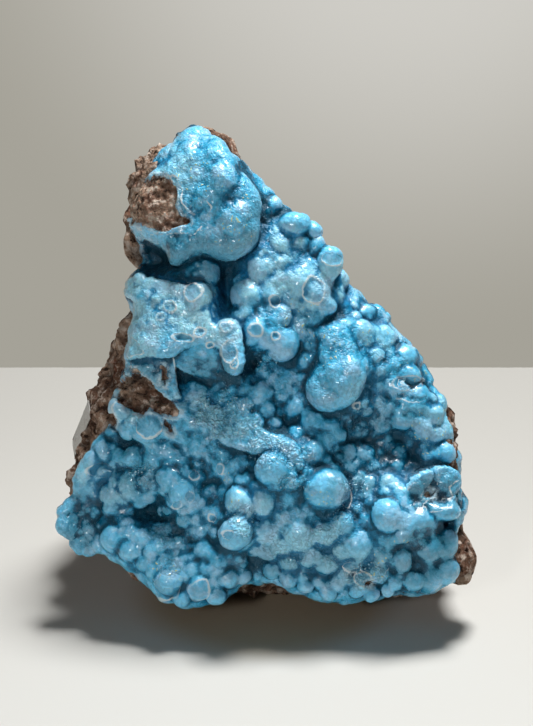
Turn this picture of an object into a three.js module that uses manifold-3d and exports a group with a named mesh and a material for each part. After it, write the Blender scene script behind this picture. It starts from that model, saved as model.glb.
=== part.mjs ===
// A hand specimen of botryoidal hemimorphite: a sky-blue crust of grown-together balls on the leaning face
// of a rough brown limonite matrix, with a small paper collection label stuck on the matrix's left flank.
// Millimetres, +Z up, the blue face towards -Y. The origin is on the flat underside that the specimen stands on.

import * as THREE from "three";
import Module from "manifold-3d";
import { mergeVertices } from "three/addons/utils/BufferGeometryUtils.js";

const wasm = await Module();
wasm.setup();

// ---- Driving dimensions ----

const FACE_LEAN = THREE.MathUtils.degToRad(20); // how far the blue face leans back from upright
const FACE_FOOT = new THREE.Vector3(1.1, -43.8, 15); // the middle of the face's lower edge, above the table
const SEAM_GAP = 0.35; // clearance between the crust, the matrix and the label
const LABEL = {
  long: 21,
  wide: 7.5,
  thick: 0.4,
  tornCorner: 2,
  seatMargin: 1.5, // how much wider than the label its flat seat is
  middle: [-65, 56, -31], // on the left flank, as across, up and out
};

// Most of the specimen is drawn in the face's own frame: across (to the right), up (along the leaning face)
// and out (towards the viewer), from the foot of the face.
const ACROSS = new THREE.Vector3(1, 0, 0);
const UP = new THREE.Vector3(0, Math.sin(FACE_LEAN), Math.cos(FACE_LEAN));
const OUT = new THREE.Vector3(0, -Math.cos(FACE_LEAN), Math.sin(FACE_LEAN));
const faceFrame = new THREE.Matrix4().makeBasis(ACROSS, UP, OUT).setPosition(FACE_FOOT);
const faceFrameInverse = faceFrame.clone().invert();
const onFace = (across, up, out) => new THREE.Vector3(across, up, out).applyMatrix4(faceFrame);
const faceDirection = (across, up, out) => new THREE.Vector3(across, up, out).transformDirection(faceFrame);

// ---- The crust ----

// The four edges of the crust, as [across, up] points: they meet in its corners.
const LEFT_EDGE = [
  [-61, 18], [-68, 26], [-70, 36], [-66, 45], [-56, 51], [-50, 61], [-48, 74], [-46, 86], [-45, 100], [-44, 112],
  [-44, 124], [-42, 138], [-35, 149],
];
const RIGHT_EDGE = [
  [61, 10], [65, 24], [65, 35], [61, 47], [58, 60], [55, 70], [49, 81], [41, 91], [32, 100], [23, 109],
  [14, 118], [5, 126], [-3, 133], [-10, 138], [-15, 145], [-21, 152],
];
const BOTTOM_EDGE = [
  [-61, 18], [-50, 17], [-43, 13], [-36, 5], [-28, 0], [-16, 2], [-8, 6], [2, 8], [12, 5], [24, 1], [36, 3],
  [48, 4], [61, 10],
];
const TOP_EDGE = [[-35, 149], [-31, 153], [-26, 155], [-21, 152]];

const CRUST = {
  columns: 44, // facets across the crust
  rows: 58, // facets up the crust
  root: -12, // where the crust starts to grow, behind the plane of the face
  level: -1, // where it ends where no ball is near
  sink: 0.8, // how much of a ball's radius is sunk in the crust around it
  spread: 5, // how far a ball lifts the crust around it
  blend: 0.7, // how softly balls that touch run together
  floor: 9.5, // the least that it grows, in the hollows
  lip: 1.5, // how far it grows at its very rim
  rimPower: 14, // how narrow the rounding at its rim is: higher is narrower
  wrap: 0.6, // how much it flares out at the rim
  middle: new THREE.Vector3(0, 66, -44), // a point deep in the matrix that its hidden back draws in towards
};

// Balls that stand out of the crust, row by row from the top: [across, up, top, radius, (height stretch)].
const BALLS = [
  // knob
  [-26, 146, 15, 10], [-14, 138, 22, 9], [-10, 129, 21, 10], [-24, 123, 16, 9], [-13, 121, 12, 8],
  [-22, 153, 8, 6], [-19, 148, 17, 5], [-4, 134, 11, 7], [-31, 124, 11, 6],
  // shoulder that runs down to the right
  [-3, 142, 2, 5], [2, 133, 4, 4.5], [0, 128, 5, 5.5], [10, 126, 8, 4.6, 0.8], [16, 124, 3, 3.8],
  [-2, 118, 8, 4.2], [4, 120, 8, 4.4], [12, 118, 7, 4.8], [17, 114, 6, 3.4], [9, 113, 6, 4.2],
  [22, 113, 10, 5.6, 1.25], [27, 109, -3, 3.6], [0, 111, 10, 5], [5, 111, 10, 4.6],
  [12, 108, 9, 6], [16, 103, 12, 3.6, 1.2], [-6, 103, 10, 6.4], [0, 101, 9, 4.8], [5, 101, 10, 4],
  [11, 100, 7, 4.6], [31, 106, -2, 4.2], [27, 101, 1, 5], [33, 100, 0, 5.4], [38, 96, -3, 5],
  // cave mouth and shelf
  [-20, 109, 0, 6.2], [-42, 108, -4, 5], [-39, 106, 6, 4.2], [-33, 107, 7, 3.8], [-28, 107, 7, 3.4],
  [-38, 100, 9, 5], [-22, 100, 17, 5.8], [-29, 98, 14, 4.4], [-23, 94, 13, 4.2], [-21, 90, 15, 5],
  [-27, 88, 14, 5], [-17, 86, 14, 4.2], [-11, 86, 17, 5.4], [-9, 78, 10, 6], [-43, 88, 6, 5.6],
  [-41, 83, 8, 5], [-36, 87, 11, 6], [-12, 93, 13, 4], [-7, 95, 11, 3.8], [-2, 91, 13, 4.2],
  [-7, 88, 11, 4.2], [4, 89, 11, 6], [11, 93, 8, 4.8],
  // right shoulder
  [34, 89, 4, 5], [42, 94, -3, 5], [41, 88, 0, 4.4], [37, 83, 4, 3.4, 0.8], [46, 87, -1, 4.6],
  [42, 81, 3, 5], [49, 80, 2, 6], [47, 73, 6, 5.4, 0.7], [39, 77, 4, 4.2], [54, 74, -1, 4.4],
  [57, 71, -5, 4.6], [37, 70, 2, 5], [39, 65, 2, 4.2], [47, 67, 4, 3.6], [46, 61, 4, 3.6],
  [55, 61, 4, 6], [56, 55, 3, 5], [59, 63, 0, 4.2], [57, 50, 1, 5], [42, 53, -2, 5.4],
  [31, 54, -1, 6], [41, 45, 0, 3.6], [49, 48, -2, 5.4], [36, 40, 4, 4.4], [31, 43, 3, 3.8],
  // central lobe and the hollow ground beside it
  [27, 77, 17, 6.6], [21, 84, 10, 8], [27, 88, 9, 6], [22, 70, 11, 6], [28, 69, 9, 5], [18, 77, 9, 5],
  [2, 78, 5, 5.4], [9, 77, 4, 5], [14, 76, 5, 3.6], [-4, 72, 6, 5], [1, 68, 7, 5.2], [6, 65, 4, 4.2],
  [0, 60, 3, 3.8], [14, 64, 8, 5.6], [16, 57, 8, 5.6], [23, 59, 6, 4.6], [18, 50, 8, 5],
  [26, 48, 5, 3.6, 1.2],
  // slanting ridge
  [-23, 72, 5, 4.6], [-11, 66, 10, 7], [-19, 66, 7, 5], [-5, 64, 9, 5], [-13, 56, 9, 6],
  [-4, 58, 10, 6], [-6, 51, 9, 7], [2, 54, 12, 6], [6, 50, 13, 7], [11, 48, 12, 4.4], [-8, 43, 7, 6],
  // glassy step and left nodules
  [-34, 76, 7, 7], [-38, 59, 10, 5], [-44, 59, 7, 5], [-48, 65, 5, 4.6], [-33, 54, 5, 5],
  [-27, 61, 7, 3.4], [-20, 59, 8, 3.6, 1.4], [-54, 55, -2, 5], [-43, 49, 5, 3.8], [-49, 48, 1, 5],
  [-56, 46, -2, 5.6], [-59, 40, -5, 5], [-53, 41, 1, 6.6], [-46, 38, 4, 6], [-49, 33, 2, 6],
  [-40, 43, 5, 6], [-41, 33, 2, 5], [-59, 33, -6, 5], [-58, 24, -4, 4.4], [-64, 27, -10, 5],
  [-61, 20, -11, 4.6],
  // middle cluster
  [-31, 39, 10, 7.2], [-27, 34, 9, 5], [-24, 31, 6, 4.4], [-23, 52, 8, 5], [-19, 50, 7, 4.4],
  [-28, 50, 5, 5], [-24, 45, 5, 4.4], [-15, 46, 9, 5.4], [-10, 44, 8, 4], [-19, 40, 3, 5],
  [-9, 34, 14, 5.7], [0, 34, 13, 5.2], [3, 44, 17, 6], [8, 43, 13, 3.6], [-9, 22, 17, 6.1],
  [-17, 29, 7, 4.6], [-23, 24, 4, 3.8], [-28, 19, 2, 5], [-21, 18, 5, 4.4],
  // lower left edge
  [-50, 21, 3, 5.4], [-45, 17, 4, 5], [-41, 21, 5, 4.2], [-38, 16, 5, 4.2], [-34, 19, 5, 3.4],
  [-32, 7, 8, 5.2], [-26, 9, 7, 4.2], [-21, 5, 9, 5.2], [-16, 3, 6, 4], [-26, 3, 5, 4],
  [-12, 8, 7, 4.4], [-15, 14, 8, 4.8], [-6, 6, 2, 4.2],
  // lower ridge
  [0, 24, 9, 5], [5, 26, 11, 4.8], [11, 26, 11, 5], [17, 24, 12, 6], [12, 18, 11, 6], [27, 25, 12, 5.8],
  [26, 20, 12, 6], [7, 13, 9, 6], [1, 14, 4, 5], [19, 12, 7, 7], [26, 8, 7, 6], [32, 16, 11, 5.6],
  [-4, 11, 2, 5], [5, 9, 5, 3.8], [12, 5, 6, 3.8], [20, 4, 6, 3.8], [27, 3, 7, 3.4], [34, 8, 8, 3.8],
  // lower right cluster
  [22, 37, 14, 7.4], [9, 34, 10, 4.4], [31, 32, 4, 4.4], [36, 33, 10, 3.8], [41, 29, 15, 5.8],
  [46, 23, 14, 3.2], [52, 28, 11, 4.6], [49, 32, 9, 4], [46, 36, 8, 4], [47, 14, 12, 4.4, 1.4],
  [42, 20, 9, 3.4], [53, 20, 9, 5], [58, 18, 9, 5.6], [56, 9, 8, 6], [61, 10, 5, 5], [51, 7, 9, 3.4],
  [45, 6, 8, 3.2], [40, 6, 7, 3.4], [56, 38, 8, 6], [62, 33, 4, 5.6], [61, 29, 6, 4.4], [65, 38, -2, 4.2],
];

// Hollows between the balls: [across, up, out, half-width, half-height, half-depth].
const CAVE = [-37, 118, -3, 10, 7.5, 13];
const HOLLOWS = [
  [-13, 104, 2, 4.5, 9, 12], [-3, 82, 4, 4.2, 3.6, 9], [-22, 80, 10, 9, 6, 9], [-36, 45, 4, 5, 4, 9],
  [-40, 27, 4, 11, 3.2, 8], [61, 25.5, 5, 4.5, 2.2, 9], [52, 17, 9, 3, 2.6, 6], [12, 8, 8, 9, 1.8, 6],
];

// ---- The matrix ----

const MATRIX = {
  core: new THREE.Vector3(1.1, 13.2, 72), // the point that its planes are measured from
  detail: 9, // subdivisions of the icosahedron that it is drawn from
  rounding: 20, // exponent that rounds its edges: higher is sharper
  smoothFront: 0.7, // how much lower its ridges are under the crust
  caveRoom: 4, // how much deeper than the cave the rock is hollowed, to leave room for the crust
};

const LEFT_FLANK = faceDirection(-0.92, 0.115, 0.374);

// Planes that bound the rock: [outward normal, distance from the core].
const MATRIX_PLANES = [
  [OUT, 28.5], // under the crust
  [new THREE.Vector3(0, 1, 0), 36], // back
  [new THREE.Vector3(0.05, 0.946, 0.324), 41.5], // upper back, leaning forward
  [faceDirection(0.717, 0.697, 0), 40], // the slope that falls to the right
  [faceDirection(0.96, 0.28, 0), 51], // right
  [LEFT_FLANK, 60.5], // left flank, which carries the label
  [faceDirection(-0.85, 0.527, -0.02), 51], // the waist above the left flank
  [faceDirection(0, 1, 0), 85], // top
  [faceDirection(-0.8, -0.6, 0), 76], // lower left
  [new THREE.Vector3(0, -0.45, -0.89), 73], // underside in front of the foot
  [new THREE.Vector3(0.78, 0, -0.62), 80], // lower right
  [new THREE.Vector3(-0.88, 0.48, 0), 62], // back left
  [new THREE.Vector3(0.8, 0.6, 0), 51.6], // back right
  [new THREE.Vector3(0, 0, -1), 80], // below the foot, cut off flat at the table
].map(([normal, distance]) => ({ normal: normal.clone().normalize(), distance }));

// Lumps of rock that stand out of those planes: [across, up, out, half-width, half-height, half-depth].
const KNUCKLES = [
  [-26, 126, -20, 22, 27, 13], // the neck that carries the knob
  [-48, 40, -26, 21, 20, 15], // the foot of the left flank
  [-20, 147.5, -8, 12, 11, 9], // crown behind the knob
  [-40, 132, 2, 12, 10, 13], // broken left side of the knob
  [-38, 67, -2, 11.5, 8.5, 8.5], // broken patch under the shelf
  [63, 15, -7, 6, 9, 8], // lower right corner
];

// ---- Helpers ----

// A closed three.js geometry as a manifold-3d solid.
function solidOf(geometry) {
  const bare = geometry.clone().deleteAttribute("normal").deleteAttribute("uv");
  const merged = mergeVertices(bare, 1e-4);
  return new wasm.Manifold(
    new wasm.Mesh({
      numProp: 3,
      vertProperties: new Float32Array(merged.attributes.position.array),
      triVerts: new Uint32Array(merged.index.array),
    }),
  );
}

// A manifold-3d solid as a flat-shaded three.js geometry.
function geometryOf(solid) {
  const { vertProperties, triVerts } = solid.getMesh();
  const indexed = new THREE.BufferGeometry()
    .setAttribute("position", new THREE.BufferAttribute(vertProperties, 3))
    .setIndex(new THREE.BufferAttribute(triVerts, 1));
  const flat = indexed.toNonIndexed();
  flat.computeVertexNormals();
  return flat;
}

// Moves every point of a geometry to where a function says.
function reshape(geometry, place) {
  const points = geometry.attributes.position;
  const point = new THREE.Vector3();
  for (let i = 0; i < points.count; i++) {
    const { x, y, z } = place(point.fromBufferAttribute(points, i));
    points.setXYZ(i, x, y, z);
  }
  return geometry;
}

// The distances at which a ray enters and leaves an ellipsoid, or null if it misses.
function crossing(origin, direction, centre, halfSizes) {
  const start = origin.clone().sub(centre).divide(halfSizes);
  const step = direction.clone().divide(halfSizes);
  const a = step.dot(step);
  const b = start.dot(step);
  const reach = b * b - a * (start.dot(start) - 1);
  if (reach < 0) return null;
  return { enter: (-b - Math.sqrt(reach)) / a, leave: (-b + Math.sqrt(reach)) / a };
}

// The farthest that a ray gets before it has left the last of some ellipsoids.
function farthest(origin, direction, lumps, least, grow = 0) {
  let reach = least;
  for (const { centre, halfSizes } of lumps) {
    const hit = crossing(origin, direction, centre, halfSizes);
    if (hit) reach = Math.max(reach, hit.leave + grow);
  }
  return reach;
}

const ellipsoid = ([across, up, out, halfWidth, halfHeight, halfDepth]) => ({
  centre: new THREE.Vector3(across, up, out),
  halfSizes: new THREE.Vector3(halfWidth, halfHeight, halfDepth),
});

// ---- The crust: a square sheet stretched between its four edges, with every point grown out to the balls ----

const edge = (points) => new THREE.SplineCurve(points.map(([across, up]) => new THREE.Vector2(across, up)));
const [left, right, bottom, top] = [LEFT_EDGE, RIGHT_EDGE, BOTTOM_EDGE, TOP_EDGE].map(edge);

// The point of the face at s of the way across and t of the way up between the four edges.
function betweenEdges(s, t) {
  const corner = (curve, end) => curve.getPointAt(end);
  const along = left.getPointAt(t).multiplyScalar(1 - s).addScaledVector(right.getPointAt(t), s);
  const over = bottom.getPointAt(s).multiplyScalar(1 - t).addScaledVector(top.getPointAt(s), t);
  const corners = corner(left, 0).multiplyScalar((1 - s) * (1 - t))
    .addScaledVector(corner(right, 0), s * (1 - t))
    .addScaledVector(corner(left, 1), (1 - s) * t)
    .addScaledVector(corner(right, 1), s * t);
  return along.add(over).sub(corners);
}

// A ball is listed by the height of its top, so its centre lies that much deeper.
const crustBalls = BALLS.map(([across, up, top, radius, stretch = 1]) =>
  ellipsoid([across, up, top - radius, radius, radius * stretch, radius]));
const crustHollows = HOLLOWS.map(ellipsoid);
const cave = ellipsoid(CAVE);

// How far out the crust lies between the balls: the balls nearby, by their nearness, lift it towards them.
function crustLevel({ x, y }) {
  let weights = 0.1;
  let sum = weights * CRUST.level;
  for (const [across, up, top, radius] of BALLS) {
    const weight = Math.exp(-(((x - across) ** 2 + (y - up) ** 2) / (2 * CRUST.spread ** 2)));
    weights += weight;
    sum += weight * (top - CRUST.sink * radius);
  }
  return sum / weights;
}

// The farther of two reaches, run together softly where they are nearly the same.
const softMax = (a, b) => {
  const nearness = Math.max(0, 1 - Math.abs(a - b) / (4 * CRUST.blend));
  return Math.max(a, b) + CRUST.blend * nearness ** 2;
};

// A reach that stops where the ray enters a hollow, unless the crust there ends before it.
function hollowedReach(root, direction, hollow, reach, least) {
  const hit = crossing(root, direction, hollow.centre, hollow.halfSizes);
  return hit && hit.leave > reach ? Math.min(reach, Math.max(hit.enter, least)) : reach;
}

// Where a point of the square sheet grows to: x and y run from -1 to 1, and z is 1 on the side that shows.
function crustPoint({ x, y, z }) {
  const foot = betweenEdges((x + 1) / 2, (y + 1) / 2);
  const root = new THREE.Vector3(foot.x, foot.y, CRUST.root);
  if (z < 0) return root.lerp(CRUST.middle, 0.5);
  const direction = new THREE.Vector3(CRUST.wrap * x ** 5, CRUST.wrap * y ** 5, 1).normalize();
  const rim = Math.max(Math.abs(x), Math.abs(y)) ** CRUST.rimPower;
  let reach = CRUST.lip + (crustLevel(foot) - CRUST.root) * Math.sqrt(1 - rim);
  for (const { centre, halfSizes } of crustBalls) {
    const hit = crossing(root, direction, centre, halfSizes);
    if (hit) reach = softMax(reach, hit.leave);
  }
  const least = Math.min(reach, CRUST.floor);
  for (const hollow of crustHollows) reach = hollowedReach(root, direction, hollow, reach, least);
  reach = hollowedReach(root, direction, cave, reach, CRUST.lip);
  return root.addScaledVector(direction, reach);
}

const crustSheet = () =>
  reshape(new THREE.BoxGeometry(2, 2, 2, CRUST.columns, CRUST.rows, 1), crustPoint).applyMatrix4(faceFrame);

// ---- The matrix: an icosahedron grown out to its planes, waves and knuckles ----

const knuckles = KNUCKLES.map(ellipsoid);
const coreOnFace = MATRIX.core.clone().applyMatrix4(faceFrameInverse);

// A wave with straight flanks: it runs from -1 to 1 and back while t grows by 1.
const zigzag = (t) => 4 * Math.abs(t - Math.floor(t) - 0.5) - 1;

// The ridges of broken rock: how far it stands proud of its planes at a point.
function rockRidges({ x, y, z }) {
  const broad = zigzag(0.019 * x + 0.031 * z + 0.22 * zigzag(0.029 * y - 0.017 * x));
  const cross = zigzag(0.041 * y - 0.037 * z + 0.28 * zigzag(0.033 * x));
  const fine = zigzag(0.083 * x + 0.067 * y + 0.091 * z);
  return 2.1 * broad + 1.3 * cross + 0.7 * fine;
}

// How far the rock reaches from its core in one direction.
function matrixReach(direction) {
  let sum = 0;
  for (const { normal, distance } of MATRIX_PLANES) {
    sum += Math.max(0, direction.dot(normal) / distance) ** MATRIX.rounding;
  }
  const reach = farthest(
    coreOnFace,
    direction.clone().transformDirection(faceFrameInverse),
    knuckles,
    sum ** (-1 / MATRIX.rounding),
  );
  const ridges = rockRidges(direction.clone().multiplyScalar(reach).add(MATRIX.core));
  return reach + ridges * (1 - MATRIX.smoothFront * Math.max(0, direction.dot(OUT)));
}

// The rock, grown all round by a clearance and hollowed behind the cave.
function rockBody(grow = 0) {
  const rock = reshape(new THREE.IcosahedronGeometry(1, MATRIX.detail), (direction) => {
    direction.normalize();
    return direction.multiplyScalar(matrixReach(direction) + grow).add(MATRIX.core);
  });
  const [across, up, out, ...halfSizes] = CAVE;
  const room = new THREE.IcosahedronGeometry(1, 2)
    .scale(...halfSizes.map((size) => size + MATRIX.caveRoom - grow))
    .translate(across, up, out)
    .applyMatrix4(faceFrame);
  return solidOf(rock).subtract(solidOf(room));
}

const table = () => solidOf(new THREE.BoxGeometry(400, 400, 100).translate(0, 0, -50));

// ---- The label: a slip of paper that lies aslant on a flat seat on the left flank ----

const labelAlong = faceDirection(-0.34, -0.7, -0.63).projectOnPlane(LEFT_FLANK).normalize();
const labelFrame = new THREE.Matrix4()
  .makeBasis(labelAlong, LEFT_FLANK.clone().cross(labelAlong), LEFT_FLANK)
  .setPosition(onFace(...LABEL.middle));

// A block that stands on the label's place: the seat is cut with a tall one, and the label is a thin one.
function labelBlock(margin, bottom, height) {
  const [halfLong, halfWide] = [LABEL.long / 2 + margin, LABEL.wide / 2 + margin];
  const outline = new THREE.Shape()
    .moveTo(-halfLong, -halfWide)
    .lineTo(halfLong - LABEL.tornCorner, -halfWide)
    .lineTo(halfLong, -halfWide + LABEL.tornCorner)
    .lineTo(halfLong, halfWide)
    .lineTo(-halfLong, halfWide);
  return solidOf(
    new THREE.ExtrudeGeometry(outline, { depth: height, bevelEnabled: false })
      .translate(0, 0, bottom)
      .applyMatrix4(labelFrame),
  );
}

// ---- Assembly ----

function largestPiece(solid) {
  return solid.decompose().sort((a, b) => b.volume() - a.volume())[0];
}

const limonite = new THREE.MeshStandardMaterial({ color: 0x5b3d2c, roughness: 0.95, metalness: 0 });
const hemimorphite = new THREE.MeshStandardMaterial({ color: 0x4a9cc0, roughness: 0.4, metalness: 0 });
const paper = new THREE.MeshStandardMaterial({ color: 0xd9d6cf, roughness: 0.9, metalness: 0 });

function namedMesh(name, solid, material) {
  const mesh = new THREE.Mesh(geometryOf(solid), material);
  mesh.name = name;
  return mesh;
}

const specimen = new THREE.Group();
specimen.add(namedMesh(
  "limonite_matrix",
  rockBody().subtract(table()).subtract(labelBlock(LABEL.seatMargin, 0, 20)),
  limonite,
));
specimen.add(namedMesh(
  "hemimorphite_crust",
  largestPiece(solidOf(crustSheet()).subtract(rockBody(SEAM_GAP))),
  hemimorphite,
));

specimen.add(namedMesh("specimen_label", labelBlock(0, SEAM_GAP, LABEL.thick), paper));

export default specimen;
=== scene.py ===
"""A hand specimen of botryoidal hemimorphite on limonite, with an old paper label on its left flank.

Shapes are worked out in millimetres in the blue face's own axes: across (to the right), up (along the
leaning face) and out (towards the viewer). Each mesh is then made in metres, where the specimen stands.
"""

import math
from types import SimpleNamespace

import bpy
import numpy as np
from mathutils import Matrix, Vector


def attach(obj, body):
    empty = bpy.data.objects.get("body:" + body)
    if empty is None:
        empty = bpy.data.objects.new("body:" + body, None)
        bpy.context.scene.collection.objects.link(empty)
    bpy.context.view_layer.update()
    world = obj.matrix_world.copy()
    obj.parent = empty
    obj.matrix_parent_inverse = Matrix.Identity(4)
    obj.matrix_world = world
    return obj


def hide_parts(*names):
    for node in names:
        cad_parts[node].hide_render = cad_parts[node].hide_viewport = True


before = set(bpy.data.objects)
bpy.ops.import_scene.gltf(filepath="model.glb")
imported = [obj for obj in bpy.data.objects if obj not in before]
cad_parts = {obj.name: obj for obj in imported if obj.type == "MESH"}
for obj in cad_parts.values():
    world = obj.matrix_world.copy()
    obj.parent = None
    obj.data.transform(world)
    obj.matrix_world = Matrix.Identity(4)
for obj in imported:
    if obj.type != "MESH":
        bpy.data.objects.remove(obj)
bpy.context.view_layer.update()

MM = 0.001
SEED = 11

# ---- The face's own axes, as in the solids ----

FACE_LEAN = math.radians(20)
FACE_FOOT = np.array([1.1, -43.8, 15.0])
ACROSS = np.array([1.0, 0.0, 0.0])
UP = np.array([0.0, math.sin(FACE_LEAN), math.cos(FACE_LEAN)])
OUT = np.array([0.0, -math.cos(FACE_LEAN), math.sin(FACE_LEAN)])
FACE_AXES = np.stack([ACROSS, UP, OUT])

# ---- The crust: where it lies and what stands on it ----

# The four edges of the crust, as (across, up) points: they meet in its corners.
LEFT_EDGE = [
    (-61, 18), (-67, 24), (-69, 30), (-65, 35), (-63, 42), (-58, 50), (-53, 58), (-50, 66), (-48.5, 76),
    (-47, 84), (-45.5, 91), (-45, 97), (-47, 103), (-46.5, 108), (-43, 113), (-42.5, 119),
    (-45.5, 126), (-46.5, 132), (-43, 138), (-38, 145), (-33.5, 151.5),
]
RIGHT_EDGE = [
    (60, 8), (61, 16), (61, 24), (64, 32), (62.5, 41), (60.5, 50), (58, 60), (55, 70), (49, 80), (41, 91),
    (32, 100), (23, 109), (14, 118), (5, 126), (-2, 134), (-8, 141), (-12.5, 145.5), (-17, 149.5),
    (-20, 152.5), (-22.5, 157.5),
]
BOTTOM_EDGE = [
    (-61, 18), (-50, 17), (-43, 13), (-36, 5), (-28, 0), (-16, 2), (-8, 6), (2, 8), (12, 5), (24, 1),
    (36, 3), (48, 4), (60, 8),
]
TOP_EDGE = [(-33.5, 151.5), (-30, 156), (-26, 158.5), (-22.5, 157.5)]

CRUST_ROOT = -12.0  # where the crust starts to grow, behind the plane of the face
CRUST_LEVEL = -1.0  # where it ends where no ball is near
CRUST_SINK = 0.75  # how far below a ball's top the crust around it lies, in radii
CRUST_SPREAD = 4.0  # how far a ball lifts the crust around it
MEAN_LEVEL = 4.0  # about how far out the crust lies
CRUST_LIP = 1.5  # how far it grows at its very rim
RIM_POWER = 14  # how narrow the rounding at its rim is
CRUST_WRAP = 0.6  # how much it flares out at the rim
WRAP_POWER = 5  # how near the rim the flare starts
LEFT_STEEPNESS = 0.9  # how much less it flares out on its left above the foot
TOP_STEEPNESS = 0.8  # and at the very top
RIGHT_STEEPNESS = 0.75  # and on the knob's right
CRUST_MIDDLE = np.array([0.0, 66.0, -44.0])  # a point in the rock that its hidden back draws in towards

CRUST_BLEND = 0.38  # how softly the balls run together
STAND_POWER = 0.4  # how far balls with a low stand still stand out
LOW_STAND = 0.16  # a ball with a lower stand is a swelling of the ground
SHAKE_SIZE, SHAKE = 7, 0.7  # how broadly and how far their outlines wander
RIM_SHAKE_SIZE, RIM_SHAKE = 8, 1.8  # and those of the crust's rim
RIM_SHAKE_POWER = 6  # how near the rim that starts
SHEET_COLUMNS, SHEET_ROWS = 281, 296  # the points across and up its front
EVEN_ROUNDS = 16  # how many times these points slide towards steep places
SKIRT_ROWS = 12  # rows of squares that run back from its rim

# Small lumps that are grown on it, in millimetres: how far apart they lie and how high they stand.
GRAPE_SIZE, GRAPE_HEIGHT = 4.8, 0.35  # small balls between the placed ones
SEED_SIZE, SEED_HEIGHT = 2.2, 0.3  # the smallest balls that are modelled
FLANK_SIZE, FLANK_HEIGHT = 6.5, 1.2  # lumps on the steep flanks
CRUMB_SIZE, BARE_DEPTH = 2.4, 1.3  # crumbs of rock in the bare patches, and how deep those are sunk
UNEVEN_SIZE, UNEVEN_HEIGHT = 5, 0.28  # unevenness everywhere
CHIP_HEIGHT = 0.6  # sharp facets where the crust is chipped
RING_WIDTH, RING_HEIGHT = 0.45, 0.15  # the white ring round a broken ball
RING_HOLLOW = 0.35  # and how deep the ball is hollowed inside it

# How far the lines of rings and cracks wander, and how far the edges of bare patches do.
LINE_WANDER = 0.4
LINE_FRAY = 0.3
BARE_FRAY = 1.1
CRACK_THINNESS = 1.6  # how much thinner a crack is than a ring

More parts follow.
